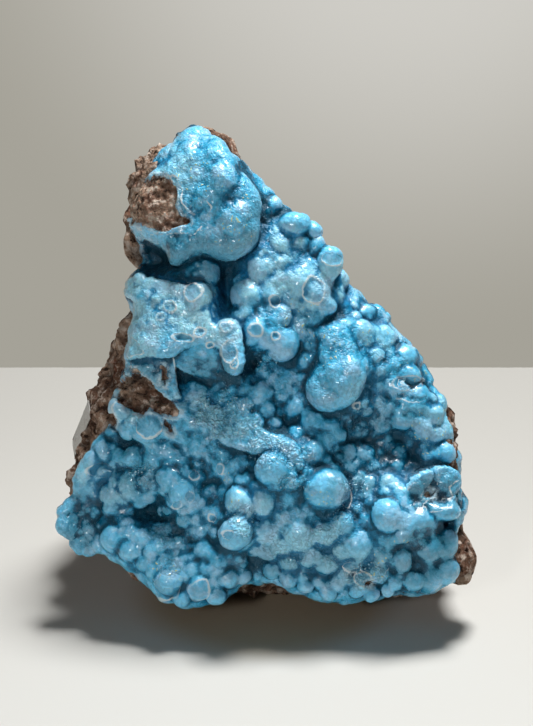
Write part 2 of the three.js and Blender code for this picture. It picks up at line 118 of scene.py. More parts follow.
# The balls of the solid, row by row from the top: (across, up, top, radius). Here they set how far out the
# ground lies.
BALLS = [
    # knob
    (-26, 146, 15, 10), (-14, 138, 22, 9), (-10, 129, 21, 10), (-24, 123, 16, 9), (-13, 121, 12, 8),
    (-22, 153, 8, 6), (-19, 148, 17, 5), (-4, 134, 11, 7), (-31, 124, 11, 6),
    # shoulder that runs down to the right
    (-3, 142, 2, 5), (2, 133, 4, 4.5), (0, 128, 5, 5.5), (10, 126, 8, 4.6), (16, 124, 3, 3.8),
    (-2, 118, 8, 4.2), (4, 120, 8, 4.4), (12, 118, 7, 4.8), (17, 114, 6, 3.4), (9, 113, 6, 4.2),
    (22, 113, 10, 5.6), (27, 109, -3, 3.6), (0, 111, 10, 5), (5, 111, 10, 4.6),
    (12, 108, 9, 6), (16, 103, 12, 3.6), (-6, 103, 10, 6.4), (0, 101, 9, 4.8), (5, 101, 10, 4),
    (11, 100, 7, 4.6), (31, 106, -2, 4.2), (27, 101, 1, 5), (33, 100, 0, 5.4), (38, 96, -3, 5),
    # cave mouth and shelf
    (-21, 109, 9, 6.2), (-42, 108, -4, 5), (-39, 106, 6, 4.2), (-33, 107, 7, 3.8), (-28, 107, 7, 3.4),
    (-38, 100, 9, 5), (-22, 100, 17, 5.8), (-29, 98, 14, 4.4), (-23, 94, 13, 4.2), (-21, 90, 15, 5),
    (-27, 88, 14, 5), (-17, 86, 14, 4.2), (-11, 86, 17, 5.4), (-9, 78, 10, 6), (-43, 88, 6, 5.6),
    (-41, 83, 8, 5), (-36, 87, 11, 6), (-12, 93, 13, 4), (-7, 95, 11, 3.8), (-2, 91, 13, 4.2),
    (-7, 88, 11, 4.2), (4, 89, 11, 6), (11, 93, 8, 4.8),
    # right shoulder
    (34, 89, 4, 5), (42, 94, -3, 5), (41, 88, 0, 4.4), (37, 83, 4, 3.4), (46, 87, -1, 4.6),
    (42, 81, 3, 5), (49, 80, 2, 6), (47, 73, 6, 5.4), (39, 77, 4, 4.2), (54, 74, -1, 4.4),
    (57, 71, -5, 4.6), (37, 70, 2, 5), (39, 65, 2, 4.2), (47, 67, 4, 3.6), (46, 61, 4, 3.6),
    (55, 61, 4, 6), (56, 55, 3, 5), (59, 63, 0, 4.2), (57, 50, 1, 5), (42, 53, -2, 5.4),
    (31, 54, -1, 6), (41, 45, 0, 3.6), (49, 48, -2, 5.4), (36, 40, 4, 4.4), (31, 43, 3, 3.8),
    # central lobe and the hollow ground beside it
    (27, 77, 17, 6.6), (21, 84, 10, 8), (27, 88, 9, 6), (22, 70, 11, 6), (28, 69, 9, 5), (18, 77, 9, 5),
    (2, 78, 5, 5.4), (9, 77, 4, 5), (14, 76, 5, 3.6), (-4, 72, 6, 5), (1, 68, 7, 5.2), (6, 65, 4, 4.2),
    (0, 60, 3, 3.8), (14, 64, 8, 5.6), (16, 57, 8, 5.6), (23, 59, 6, 4.6), (18, 50, 8, 5),
    (26, 48, 5, 3.6),
    # slanting ridge
    (-23, 72, 5, 4.6), (-11, 66, 10, 7), (-19, 66, 7, 5), (-5, 64, 9, 5), (-13, 56, 9, 6),
    (-4, 58, 10, 6), (-6, 51, 9, 7), (2, 54, 12, 6), (6, 50, 13, 7), (11, 48, 12, 4.4), (-8, 43, 7, 6),
    # glassy step and left nodules
    (-34, 76, 7, 7), (-38, 59, 10, 5), (-44, 59, 7, 5), (-48, 65, 5, 4.6), (-33, 54, 5, 5),
    (-27, 61, 7, 3.4), (-20, 59, 8, 3.6), (-54, 55, -2, 5), (-43, 49, 5, 3.8), (-49, 48, 1, 5),
    (-56, 46, -2, 5.6), (-59, 40, -5, 5), (-53, 41, 1, 6.6), (-46, 38, 4, 6), (-49, 33, 2, 6),
    (-40, 43, 5, 6), (-41, 33, 2, 5), (-59, 33, -6, 5), (-58, 24, -4, 4.4), (-64, 27, -6, 5),
    (-61, 20, -6, 4.6),
    # middle cluster
    (-31, 39, 10, 7.2), (-27, 34, 9, 5), (-24, 31, 6, 4.4), (-23, 52, 8, 5), (-19, 50, 7, 4.4),
    (-28, 50, 5, 5), (-24, 45, 5, 4.4), (-15, 46, 9, 5.4), (-10, 44, 8, 4), (-19, 40, 3, 5),
    (-9, 34, 14, 5.7), (0, 34, 13, 5.2), (3, 44, 17, 6), (8, 43, 13, 3.6), (-9, 22, 17, 6.1),
    (-17, 29, 7, 4.6), (-23, 24, 4, 3.8), (-28, 19, 2, 5), (-21, 18, 5, 4.4),
    # lower left edge
    (-50, 21, 3, 5.4), (-45, 17, 4, 5), (-41, 21, 5, 4.2), (-38, 16, 5, 4.2), (-34, 19, 5, 3.4),
    (-32, 7, 8, 5.2), (-26, 9, 7, 4.2), (-21, 5, 9, 5.2), (-16, 3, 6, 4), (-26, 3, 5, 4),
    (-12, 8, 7, 4.4), (-15, 14, 8, 4.8), (-6, 6, 2, 4.2),
    # lower ridge
    (0, 24, 9, 5), (5, 26, 11, 4.8), (11, 26, 11, 5), (17, 24, 12, 6), (12, 18, 11, 6), (27, 25, 12, 5.8),
    (26, 20, 12, 6), (7, 13, 9, 6), (1, 14, 4, 5), (19, 12, 7, 7), (26, 8, 7, 6), (32, 16, 11, 5.6),
    (-4, 11, 2, 5), (5, 9, 5, 3.8), (12, 5, 6, 3.8), (20, 4, 6, 3.8), (27, 3, 7, 3.4), (34, 8, 8, 3.8),
    # lower right cluster
    (22, 37, 14, 7.4), (9, 34, 10, 4.4), (31, 32, 4, 4.4), (36, 33, 10, 3.8), (41, 29, 15, 5.8),
    (46, 23, 14, 3.2), (52, 28, 11, 4.6), (49, 32, 9, 4), (46, 36, 8, 4), (47, 14, 12, 4.4),
    (42, 20, 9, 3.4), (53, 20, 9, 5), (58, 18, 9, 5.6), (56, 9, 8, 6), (61, 10, 5, 5), (51, 7, 9, 3.4),
    (45, 6, 8, 3.2), (40, 6, 7, 3.4), (56, 38, 8, 6), (62, 33, 4, 5.6), (61, 29, 6, 4.4), (65, 38, -2, 4.2),
]

# Small balls that fill the gaps, one near each knot of a net.
FILLER_NET = 4.0  # from knot to knot
FILLER_RADII = (2.0, 4.2)  # the smallest and the largest
FILLER_MARGIN = 1.8  # how far inside the crust's rim they stay

# Balls as they show from the front: (across, up, radius, stand, stretch, tilt in degrees). A ball with a
# stand of 1 is half a ball, and a lower number is flatter. Left out, stretch is 1 and tilt is 0.
BUDS = [
    # knob
    (-14.3, 141, 7, 0.13), (-20, 134, 8, 0.06), (-11.5, 127, 8.3, 0.13), (-24, 147.5, 6.5, 0.06),
    (-17, 119.5, 5.5, 0.06), (-30.3, 116.5, 4.8, 0.14), (-4.5, 134.5, 4.4, 0.1), (-4, 123, 4.4, 0.1),
    (-27, 153, 4.6, 0.07), (-34, 144, 4.5, 0.06), (-24, 140, 3.4, 0.05), (-21.5, 127.5, 4, 0.06),
    (-9.5, 118, 4.4, 0.1), (-19.5, 150.5, 3.2, 0.08),
    # the shelf and the ball above it
    (-22.3, 109.3, 6, 0.9), (-42.7, 106.7, 2.2, 0.6), (-39.3, 105.7, 2, 0.6), (-36, 106.3, 1.8, 0.6),
    (-23.7, 101, 4.8, 0.5), (-32, 97.3, 2.8, 0.25), (-35, 94, 2, 0.25), (-13.7, 90.7, 3, 0.35),
    (-12.7, 83, 4, 0.15), (-18.5, 89.5, 4.2, 0.12), (-27.5, 90, 5, 0.1), (-39, 93, 6, 0.06),
    (-42.5, 100, 5, 0.1), (-30, 103, 3, 0.2), (-37, 100, 3.4, 0.15), (-33, 87, 4, 0.08), (-42, 86, 4.5, 0.1),
    (-29, 97, 4, 0.08), (-23, 94.5, 3.6, 0.1), (-35.5, 96, 3, 0.1), (-24, 88, 3, 0.08), (-38, 86, 3, 0.06),
    (-45, 92, 3, 0.1),
    # shoulder that runs down to the right
    (1.3, 131, 3.3, 0.6), (-2, 128.3, 3, 0.5), (8.7, 125, 4.7, 0.8, 0.78), (14.7, 122.7, 2.9, 0.7),
    (4, 118.3, 4, 0.5), (10.7, 119, 3.4, 0.5), (-2, 116, 3.4, 0.5), (16, 117.7, 3.2, 0.4),
    (20.7, 112.3, 4.8, 0.85, 1.4), (-2, 110, 4.7, 0.5), (4, 111.7, 3.4, 0.45), (-7.7, 111.7, 3, 0.4),
    (10.7, 106, 6.6, 0.3), (15, 102.7, 3.4, 0.8, 1.25), (-6.7, 101.7, 6, 0.65), (0.7, 101.7, 4.2, 0.6),
    (7.3, 100, 4, 0.35), (25.7, 103.3, 3.2, 0.15), (29.3, 104.3, 4, 0.12), (24, 98.3, 3.2, 0.15),
    (31.3, 95.7, 1.8, 0.4), (35.7, 99, 2.8, 0.12), (26.3, 93.3, 3.2, 0.15), (32.3, 88.3, 4, 0.15),
    (39, 93.3, 4, 0.1), (40.7, 87.3, 2.2, 0.3), (44.7, 88.3, 3, 0.1), (36, 81.7, 2.9, 0.8, 0.85),
    # lobes beside the shelf
    (-4.3, 90, 4.6, 0.75), (-10.3, 94, 2.6, 0.6), (2.3, 88.3, 3, 0.45), (4.7, 86, 6, 0.7),
    (10.7, 94, 3.8, 0.35), (16.7, 95, 3.4, 0.35), (14, 88.3, 3.2, 0.3), (-1.7, 76, 3.1, 0.65),
    (6.3, 75, 2.8, 0.6), (2.3, 80, 2.5, 0.4), (12.3, 74.7, 2.5, 0.8, 0.7), (10.7, 80, 2.7, 0.4),
    # the great bulb, and the ground below and to the right of it
    (24.5, 75, 9.2, 0.15, 1.1), (19.5, 85, 8.5, 0.06), (19.5, 67.5, 5.5, 0.05), (-2, 69, 4.4, 0.6),
    (-0.3, 63.3, 3.4, 0.6), (4.7, 63.3, 2.2, 0.7), (2.3, 58.3, 2.8, 0.5), (-3.3, 59.7, 2.8, 0.8, 1.6, 25),
    (13.3, 60.3, 3.4, 0.85, 2.1, -10), (9.7, 55, 3, 0.5), (21, 57.7, 3.8, 0.85), (24, 63.3, 2.2, 0.5),
    (15.3, 49.7, 4.4, 0.7), (24, 46.7, 2.8, 0.6), (28, 43.3, 2.8, 0.5), (29, 51.7, 3, 0.4),
    (31.3, 58.3, 3, 0.35), (36.7, 69.3, 2.8, 0.5), (36.7, 65, 3, 0.4), (40.7, 74, 2.6, 0.4),
    (45.7, 66, 2.2, 0.5), (44, 59.7, 2.9, 0.85, 1.25), (39, 56.7, 2.8, 0.4), (34.7, 51.7, 2.8, 0.35),
    (46.7, 76.5, 7, 0.04, 0.85), (55, 70.7, 2.2, 0.1), (51, 81.5, 3, 0.08), (53, 76.7, 2.7, 0.08),
    (52.5, 58.3, 4.6, 0.06, 1.2), (53.5, 50, 4.2, 0.1), (47.3, 53.3, 2.8, 0.2), (49, 46.7, 2.8, 0.25),
    (55.5, 65, 2.8, 0.08), (43, 47.3, 2.4, 0.3), (39.3, 44.3, 2.5, 0.55), (34, 36.7, 2.8, 0.55),
    (37.3, 49.3, 2.4, 0.4), (30.7, 46, 2.5, 0.4), (28, 37.7, 2.8, 0.4),
    # slanting ridge
    (-24.3, 70.7, 3.5, 0.7), (-15.3, 66.7, 2.8, 0.4), (-12, 65, 3.4, 0.4), (-7.7, 65, 3, 0.4),
    (-11.7, 61, 2.2, 0.4), (-17.7, 62.7, 2.8, 0.35), (-21, 58.7, 2.2, 0.7, 1.8), (-13.3, 55, 3.6, 0.3),
    (-7.7, 58.3, 3.2, 0.3), (-4.3, 51.7, 3.6, 0.12), (-2, 56.7, 2.8, 0.1), (1.3, 50.7, 3, 0.1),
    (6.3, 51, 4.4, 0.12), (-9.3, 48.3, 3, 0.3),
    # middle cluster
    (-22.7, 50.7, 4, 0.55), (-28.3, 53.3, 3.2, 0.45), (-32.7, 53.3, 2.8, 0.4), (-24.3, 41.7, 3.2, 0.65),
    (-28.7, 45, 2.8, 0.4), (-19.3, 43.3, 2.4, 0.4), (-15.7, 44.3, 3.8, 0.6), (-12, 45, 2.8, 0.5),
    (-17.7, 35, 1.9, 0.8), (-21.3, 34.3, 2.1, 0.5), (-10.3, 32.7, 4.7, 0.8), (-6, 40.7, 2.6, 0.4),
    (-1.7, 32.3, 4.5, 0.75, 1.25), (1.3, 43.3, 5.7, 0.9), (6.7, 42.7, 3, 0.7), (-4.3, 37.3, 2.4, 0.4),
    (-18.3, 28.3, 3.7, 0.6), (-10.7, 21.3, 5.7, 0.95), (-24.3, 26.7, 1.9, 0.8), (-25, 23.3, 2.8, 0.5),
    (-21, 20, 2.4, 0.5), (8.3, 33.3, 3.7, 0.35), (10.7, 40, 2.8, 0.35), (19.3, 36.3, 7.8, 0.75, 0.92),
    (-6.7, 27.7, 2.4, 0.4),
    # left of it
    (-48, 63.3, 3.2, 0.5), (-39.3, 58.3, 4.4, 0.7), (-46, 56.7, 4, 0.5), (-29.3, 59.3, 3, 0.55),
    (-34.3, 56, 2.8, 0.4), (-45.3, 48, 3.6, 0.8, 0.7, 25), (-41, 44, 2.8, 0.35), (-50, 48.3, 2.7, 0.4),
    (-54.3, 48.3, 2.7, 0.4), (-58.7, 46, 2.7, 0.4), (-55, 42.7, 3, 0.5), (-61, 41.7, 3, 0.5),
    (-61, 37.3, 2.8, 0.5), (-57, 34, 2.8, 0.5), (-51, 40, 2.8, 0.4), (-52, 35, 4.4, 0.45),
    (-47.7, 35, 2.4, 0.5), (-51.7, 31, 3.2, 0.4), (-46.7, 30.7, 2.8, 0.4), (-41, 40, 3.6, 0.4),
    (-42.7, 35, 2.8, 0.4), (-36.7, 36.7, 2.8, 0.4), (-32.7, 39.3, 4.2, 0.6), (-29.3, 35, 4.8, 0.65),
    (-27.7, 30.7, 2.9, 0.55), (-22.7, 31.7, 2.3, 0.4), (-34.3, 30, 2.8, 0.3), (-39.3, 27.7, 2.8, 0.25),
    (-31, 25, 3, 0.3), (-36, 23.3, 2.8, 0.3),
    # lower left edge
    (-60, 23.3, 2.9, 0.3), (-57, 29, 2.7, 0.3), (-64, 28.5, 3, 0.2), (-57.5, 18.5, 2.6, 0.2),
    (-65, 23, 2.6, 0.2), (-61.5, 33, 3, 0.3), (-62, 18.7, 2.2, 0.2), (-52, 20, 4.6, 0.8), (-46, 16.7, 4, 0.5),
    (-42.7, 20, 3.4, 0.45), (-47.7, 21.7, 2.8, 0.4), (-38.7, 15.7, 3.1, 0.5), (-35.7, 18.3, 2.5, 0.6),
    (-41, 12.7, 2.7, 0.4), (-37.7, 9.3, 2.7, 0.4), (-33.3, 5, 4.6, 0.9), (-30, 11.7, 2.8, 0.4),
    (-26.7, 16.7, 3, 0.4), (-22.7, 16.7, 2.9, 0.5), (-25.3, 10, 2.8, 0.4), (-22.7, 4, 4.2, 0.65),
    (-16.7, 13.3, 4.2, 0.6), (-20.3, 10, 2.8, 0.4), (-13.3, 6.7, 3.3, 0.6), (-17.7, 1, 2.7, 0.5),
    (-9.3, 12.3, 3, 0.4), (-8.7, 7.7, 2.6, 0.4), (-28.7, 0.7, 2.8, 0.5),
    # lower ridge
    (-5.3, 24, 3, 0.3), (-1, 23.3, 5, 0.35), (4.7, 27.7, 3.3, 0.3), (10.7, 21.5, 6.4, 0.4),
    (5.2, 18.3, 3.6, 0.35), (0.2, 16.7, 3.4, 0.35), (-4.6, 16.7, 2.8, 0.4), (7.3, 12.7, 3.8, 0.35),
    (1.3, 10, 2.8, 0.4), (14, 14.5, 4.2, 0.35), (19.5, 22, 5, 0.45), (24.3, 25.5, 4.3, 0.45),
    (30.7, 18.5, 4.8, 0.4), (25.3, 16.7, 3.6, 0.3), (20, 12.3, 4, 0.35), (12.3, 8.3, 3, 0.2),
    (18, 6.5, 3, 0.2), (7.3, 7.7, 2.7, 0.17), (25.7, 8.3, 3.2, 0.2), (31.3, 7.7, 3.4, 0.3),
    (35, 1.6, 2.4, 0.5), (30, 3, 2, 0.3), (20, 2.6, 2.2, 0.3), (13, 4.6, 2.2, 0.3), (7, 6.6, 2, 0.3),
    (40, 3.4, 2.2, 0.3), (15, 27.5, 3, 0.2), (28.5, 12, 3, 0.2), (10, 27.5, 3.4, 0.2), (1.7, 21, 2.4, 0.3),
    # lower right cluster
    (34.7, 31.7, 2.6, 0.7), (40, 27.7, 5.4, 0.8, 1.12), (44.3, 21, 2.8, 0.9),
    (50.3, 26.3, 4.3, 0.8, 0.85, -30), (44, 35, 3.4, 0.45), (39, 35, 2.7, 0.4), (45.7, 13.3, 3.8, 0.8, 1.45),
    (54, 17.3, 6, 0.5), (59, 10, 4.7, 0.5), (60, 20, 2.8, 0.3), (43, 5.8, 2.8, 0.5), (49, 6.2, 3.4, 0.55),
    (54, 6.5, 3, 0.3), (40.7, 19.3, 2.8, 0.45), (35.7, 23.3, 3, 0.4), (37.5, 14, 2.8, 0.35),
    (39, 9, 2.7, 0.35), (58.5, 29.5, 4.6, 0.4, 0.55), (47, 43.7, 4, 0.14), (53, 46.3, 4, 0.14),
    (59.5, 46.7, 4, 0.14), (43.5, 39.5, 3, 0.14),
]

# Ledges of crust with nearly flat tops: (height in the middle, slope across, slope up, width of the rounded
# edge, outline as (across, up) points).
LEDGES = [
    (11, 0.15, -0.1, 7, [  # the body of the knob
        (-29, 155), (-24.5, 157.5), (-20.5, 152), (-14.5, 146.5), (-6.7, 142), (-3, 134), (-2.3, 126),
        (-3.7, 119), (-7.7, 115), (-12.7, 113.3), (-17.7, 113.7), (-22.7, 114.7), (-26, 112.7),
        (-30.2, 111.5), (-33.2, 113.3), (-35.3, 117.5), (-39.3, 120.3), (-44, 121.7), (-49, 127), (-49, 133),
        (-44, 138.5), (-38, 145), (-32, 151.5),
    ]),
    (11.5, 0.13, -0.16, 2.2, [  # the shelf under the knob
        (-49.5, 103.5), (-47.5, 107.3), (-42.7, 107.7), (-36, 106.7), (-32, 106.3), (-28.3, 105.7),
        (-22.7, 105.7), (-20, 103.3), (-19, 100), (-19, 96), (-18, 91.5), (-15.5, 93.3), (-12, 93.8),
        (-9.7, 92), (-8.7, 88), (-8.3, 84), (-8, 79), (-9.3, 75.7), (-11.7, 75.3), (-14, 77.3), (-15, 79.3),
        (-16, 82.7), (-18, 84), (-21, 85.3), (-24.3, 85), (-28.3, 83.3), (-30.7, 81), (-34.3, 80.7),
        (-39.3, 81), (-48.7, 80.7), (-48.3, 84), (-46, 89.5), (-44.7, 95), (-45.5, 100),
    ]),
    (6.5, 0.1, 0.75, 0.5, [  # its smooth underside
        (-31, 81), (-28.3, 83.5), (-24.3, 85.5), (-21, 85.8), (-17.5, 84.5), (-15.5, 83), (-14.5, 79.6),
        (-12.8, 77.2), (-9, 75), (-9, 72.7), (-13.3, 69.5), (-17.7, 71), (-22.7, 73.7), (-27.7, 76.3),
        (-32, 79),
    ]),
    (5.0, 0.05, 0.1, 0.8, [  # the broken grey slab below it
        (-48, 81.5), (-39.3, 82), (-30.7, 81), (-30.5, 76.7), (-30.7, 71), (-29, 67.5), (-33, 67), (-38, 71),
        (-41, 74.5), (-48, 75.5),
    ]),
    (7, 0.1, -0.2, 2.4, [  # the slanting ridge
        (-20, 63), (-15.3, 66.7), (-9.3, 66), (-6, 65), (-5, 62.7), (-2, 58.7), (0.7, 55.3), (5.7, 54.7),
        (9, 52.3), (11.3, 49), (12, 45.3), (10, 43.7), (5, 46.5), (0, 48.5), (-5, 49), (-11, 50.5), (-16, 53),
        (-21, 57.5),
    ]),
    (8, 0.05, -0.15, 5, [  # the great bulb
        (16.7, 92.7), (22.3, 93.3), (27.3, 90), (30, 85), (32.3, 79.3), (32.7, 73.3), (30.7, 68.3),
        (27.3, 65), (22.3, 63.3), (16.7, 63.3), (13.3, 66.7), (12.3, 71.7), (14.7, 76), (16, 80), (16.5, 85),
        (15.5, 89.3),
    ]),
    (3.4, -0.2, 0.0, 4, [  # the broken corner at the lower right
        (45.7, 38), (49, 41.5), (54, 43.5), (60, 44), (66, 40.7), (67, 33), (65, 28), (59, 27.7), (54, 29.3),
        (49, 33.3),
    ]),
    # and its broken facets
    (5.4, -0.1, 0.25, 0.5, [(45.5, 37), (50, 33.5), (53.5, 36.5), (54, 43.5), (48, 41)]),
    (4.4, 0.2, 0.1, 0.5, [(53.5, 36), (59.5, 35), (65, 39), (61, 44), (54, 43.5)]),
    (4.6, 0.1, -0.4, 0.5, [(49.5, 33), (55, 29.2), (62.5, 30), (62, 35), (55.5, 36.5)]),
    (5.5, 0.02, 0.1, 5, [  # the pale ridge along the bottom
        (-7, 21), (-4, 27), (3, 30.5), (10, 28.5), (17, 26), (24, 29), (30, 27), (35, 20), (34, 13), (27, 9),
        (18, 7.5), (8, 10), (0, 12), (-6, 15),
    ]),
]

# Dents in the ground between them: (across, up, half-width, half-height, tilt, depth).
DENTS = [
    (-38.5, 114.5, 8.5, 5, 0, 15), (-14, 103, 3.5, 8, 0, 9), (-9, 112, 4, 4, 0, 4),
    (-5.3, 79.3, 4, 4.5, 0, 5), (-26, 75, 5, 3.5, -25, 3), (7, 58, 5, 4, -40, 3), (-38.7, 27.3, 8, 5, -15, 8),
    (59.7, 24.7, 4, 2.2, 0, 6), (51, 15, 2.6, 2.8, 0, 8), (46.7, 72.3, 5, 2.4, -5, 1.6),
    (-46, 53, 5, 4, -30, 4),
]

# White lines on the crust, where balls are broken: (across, up, half-width, half-height, start, end).
MARKS = [
    # rings on the shelf
    (-24.3, 102.3, 3.1, 2.9, 0, 360), (-32, 97.3, 2.2, 1.9, 0, 360), (-35, 94, 1.3, 1.2, 60, 330),
    (-13.7, 90.7, 1.7, 1.5, 0, 360), (-19, 84.7, 1.2, 1.1, 0, 360), (-22, 89, 1.7, 1.2, 20, 380),
    (-27.7, 87.3, 3.5, 1.4, 0, 360), (-12.5, 83, 2.5, 3.6, 0, 360), (-11, 79, 1.4, 2.2, 200, 420),
    # upper right
    (-3.9, 89.8, 2.3, 2.2, 0, 360), (2.3, 87.9, 1.3, 1.3, 0, 360), (2.3, 99.3, 2, 1.8, 90, 330),
    (15, 102.7, 3.6, 4.4, 0, 360), (20.7, 113, 3.4, 2.2, 200, 320), (29.3, 65, 1.3, 1.3, 20, 380),
    (46.7, 72.3, 5.2, 2.6, 20, 330), (47.6, 72.6, 3, 1.4, 150, 390), (48, 68.5, 5.4, 2.6, 200, 290),
    # left, under the broken patch
    (-39.3, 58.3, 4.3, 4.1, 210, 350), (-48, 63.3, 3.2, 2.8, 60, 200),
    # lower left
    (-30, 32.3, 1.8, 1.3, 190, 340), (-25.7, 35, 1.4, 1.6, 270, 400), (-24.3, 41.7, 1.6, 1.5, 200, 360),
    (-22.7, 4.3, 3.6, 3.4, 0, 360), (-18.3, 28.3, 1.4, 1.3, 60, 250), (-13, 23.5, 2, 1.6, 60, 190),
    (-15.7, 44.3, 1.4, 1.9, 300, 480), (-56, 43, 4.6, 2.6, 130, 210),
    (-33.3, 5, 4.4, 4.4, 240, 330),
    # centre and right
    (25.6, 34.5, 1.8, 3, 280, 420), (31.3, 7.7, 3, 2.6, 0, 360), (28, 12, 3, 2, 190, 330),
]

# Thin white ridges along broken edges, as lines of (across, up) points.
CRACKS = [
    [(-45.3, 88.3), (-42.3, 85.7), (-40.3, 82.7), (-44.3, 81.3)],  # the shelf's left end
    [(-31, 80.7), (-30.4, 76), (-30.6, 71), (-29, 68)],  # the edge of the grey slab
    [(-41.5, 138.5), (-38, 141.5), (-33, 141), (-31, 138)],  # above the knob's broken side
    [(-30, 138.7), (-27.7, 135.3), (-28, 131.3), (-26.3, 128.7), (-23.3, 127.3)],
    [(-33, 120.7), (-28.5, 121.3), (-24, 120.7), (-21.3, 123)],
    [(-26.5, 154), (-23, 152.5), (-22, 154.5), (-24, 156)],
    [(-20, 131.5), (-18.5, 129.5), (-19, 127.5)],
    # the broken corner at the lower right
    [(45.7, 36.7), (48, 40), (53.3, 38.7), (56.3, 40.7), (57.3, 43.3)],
    [(49, 32.3), (52.3, 30), (57.3, 30.7), (60.7, 34.3), (59.7, 38.3), (62.3, 40)],
    [(54.7, 45.7), (56, 42), (55.5, 38.5)],
    [(50.5, 32), (52.5, 34), (56, 34.6), (60, 34)],
    # round the bare side of the knob
    [(-47.5, 126), (-43, 123.5), (-38.5, 120.8), (-34.5, 121)],
    [(-39, 141.5), (-35.5, 139.8), (-31, 140.5), (-28, 137.5)],
    # the broken spot on the lower ridge
    [(35.5, 12), (38, 14), (40, 11.5), (37, 8.5), (34, 10)],
]

# Soft-edged spots: (across, up, half-width, half-height, strength).
FROST_PATCHES = [
    (-28, 98, 18, 10, 1), (-14, 90, 9, 8, 0.9), (2, 110, 15, 11, 0.8), (10, 100, 10, 8, 0.7),
    (-40, 90, 8, 12, 0.8), (4, 118, 10, 8, 0.8), (22, 106, 14, 10, 0.7), (12, 17, 20, 10, 0.65),
    (28, 12, 14, 7, 0.5), (-5, 31, 9, 8, 0.6), (-57, 41, 9, 8, 0.6), (-50, 36, 7, 6, 0.6),
    (-48, 62, 7, 5, 0.6), (27, 36, 8, 7, 0.4), (36, 88, 7, 7, 0.45), (33, 69, 8, 8, 0.4),
    (-14, 58, 8, 6, 0.35), (-30, 143, 9, 12, 0.5), (56, 60, 6, 9, 0.5), (40, 40, 8, 4, 0.6),
    (-42, 105, 7, 5, 0.8), (-27, 67, 7, 4, 0.7), (-19, 62, 8, 5, 0.6), (-9, 57, 8, 5, 0.45),
    (-1, 52.5, 7, 4, 0.3),
]
GLASSY_PATCHES = [
    (-40, 75, 9, 6.5, 0.9), (-63, 25, 9, 11, 1), (57, 36, 12, 8, 1), (38, 55, 15, 15, 0.6),
    (30, 45, 12, 9, 0.6), (-33, 26, 9, 6, 0.7), (-3, 12, 12, 7, 0.6), (50, 14, 15, 13, 0.85),
    (-46, 52, 9, 5, 0.6), (-44, 38, 15, 10, 0.45), (16, 70, 8, 8, 0.3), (-24, 116, 17, 6, 0.9),
    (-4, 125, 5, 10, 0.7), (20, 12, 16, 7, 0.5), (-42, 115, 8, 7, 0.8), (-27, 131, 4, 9, 0.5),
    (-21, 109, 9, 7, 0.7), (-20, 77, 11, 6, 0.7),
]
DRUSE_PATCHES = [
    (-12, 60, 14, 9, 1), (0, 52, 11, 8, 1), (9, 48, 6, 5, 1), (-8, 28, 6, 6, 0.9), (9, 40, 8, 4, 1),
    (-41, 42, 6, 5, 0.8), (12, 19, 18, 8, 0.5), (-18, 54, 5, 6, 0.9), (27, 34, 6, 8, 0.8),
    (34, 64, 10, 14, 0.4), (8, 94, 10, 7, 0.5), (-22, 132, 12, 12, 0.4), (38, 78, 8, 8, 0.4),
    (-1, 79, 6, 4, 0.8), (-36, 22, 6, 4, 0.5), (33, 9, 8, 5, 0.8), (-32, 12, 5, 3, 0.9), (-22, 46, 4, 4, 0.5),
]
CHIPPED_PATCHES = [
    (56.5, 36, 11, 7.5, 1), (-36, 75, 8, 6, 0.5), (-29, 128, 4, 9, 0.8), (35, 9.5, 6, 4, 0.8),
    (-43, 60, 9, 5, 0.5), (-30, 143, 8, 4, 0.7),
]
GOLD_PATCHES = [
    (-24, 139, 11, 11, 1), (-12, 128, 9, 12, 0.8), (10, 96, 9, 7, 0.9), (17, 86, 10, 8, 0.8),
    (-17, 103, 5, 5, 0.6), (52, 54, 9, 10, 0.9), (34, 88, 8, 8, 0.5), (47, 74, 8, 7, 0.6), (-12, 34, 3, 3, 1),
    (36, 12, 8, 5, 1), (-34, 10, 5, 4, 0.9), (18, 35, 7, 5, 0.5), (-15, 43, 4, 4, 0.6), (-57, 40, 8, 7, 0.4),
    (5, 50, 12, 7, 0.3), (44, 21, 4, 3, 0.9), (60, 60, 5, 8, 0.7), (24, 76, 8, 8, 0.35),
    (-4, 68, 20, 12, 0.25),
]

# Places where the crust is broken away and the rock shows, as outlines of (across, up) points.
BARE_PATCHES = [
    [  # broken left side of the knob
        (-54, 128), (-54, 136), (-44.5, 137), (-42, 139.5), (-37.5, 140.5), (-33, 139), (-30.5, 136),
        (-30, 131), (-28.5, 127), (-25, 126), (-25, 124.3), (-30, 123.3), (-33, 122.5), (-36.5, 121.5),
        (-39, 123), (-43, 125), (-47.5, 127),
    ],
    [  # crumbly break under the shelf
        (-50, 72), (-47, 74.3), (-43, 74.6), (-40.3, 73.3), (-38, 70), (-35.3, 67.7), (-32, 66),
        (-29.3, 63.3), (-30.5, 61.5), (-32, 61), (-35.3, 62.7), (-39.3, 65), (-42, 62.8), (-44.5, 62.3),
        (-48.7, 65), (-51, 67.7),
    ],
    # smaller breaks beside it, then those at the lower right
    [(-35, 61), (-33.4, 60.3), (-32, 57.8), (-31, 55.5), (-32.4, 56.2), (-34.2, 58.8)],
    [(-34.8, 77.6), (-33.7, 77.2), (-33, 74), (-33.8, 72.2), (-35, 73), (-35.2, 75.5)],
    [(-45.3, 77.3), (-43.3, 77.3), (-42.5, 75.8), (-44.3, 75.4)],
    [(-53.3, 61.8), (-51.7, 62.4), (-51, 59.8), (-51.8, 57.2), (-53.2, 58.3)],
    [(51.3, 36), (53, 37.2), (55.4, 36.4), (55.4, 34.8), (53.2, 34), (51.6, 34.8)],
    [(27, 9.8), (28.6, 10), (29, 8.9), (27.4, 8.7)],
    [(32, 6.4), (34, 6.9), (34.2, 5.8), (32.4, 5.4)],
]

# ---- The rock: the planes are those of the solid ----

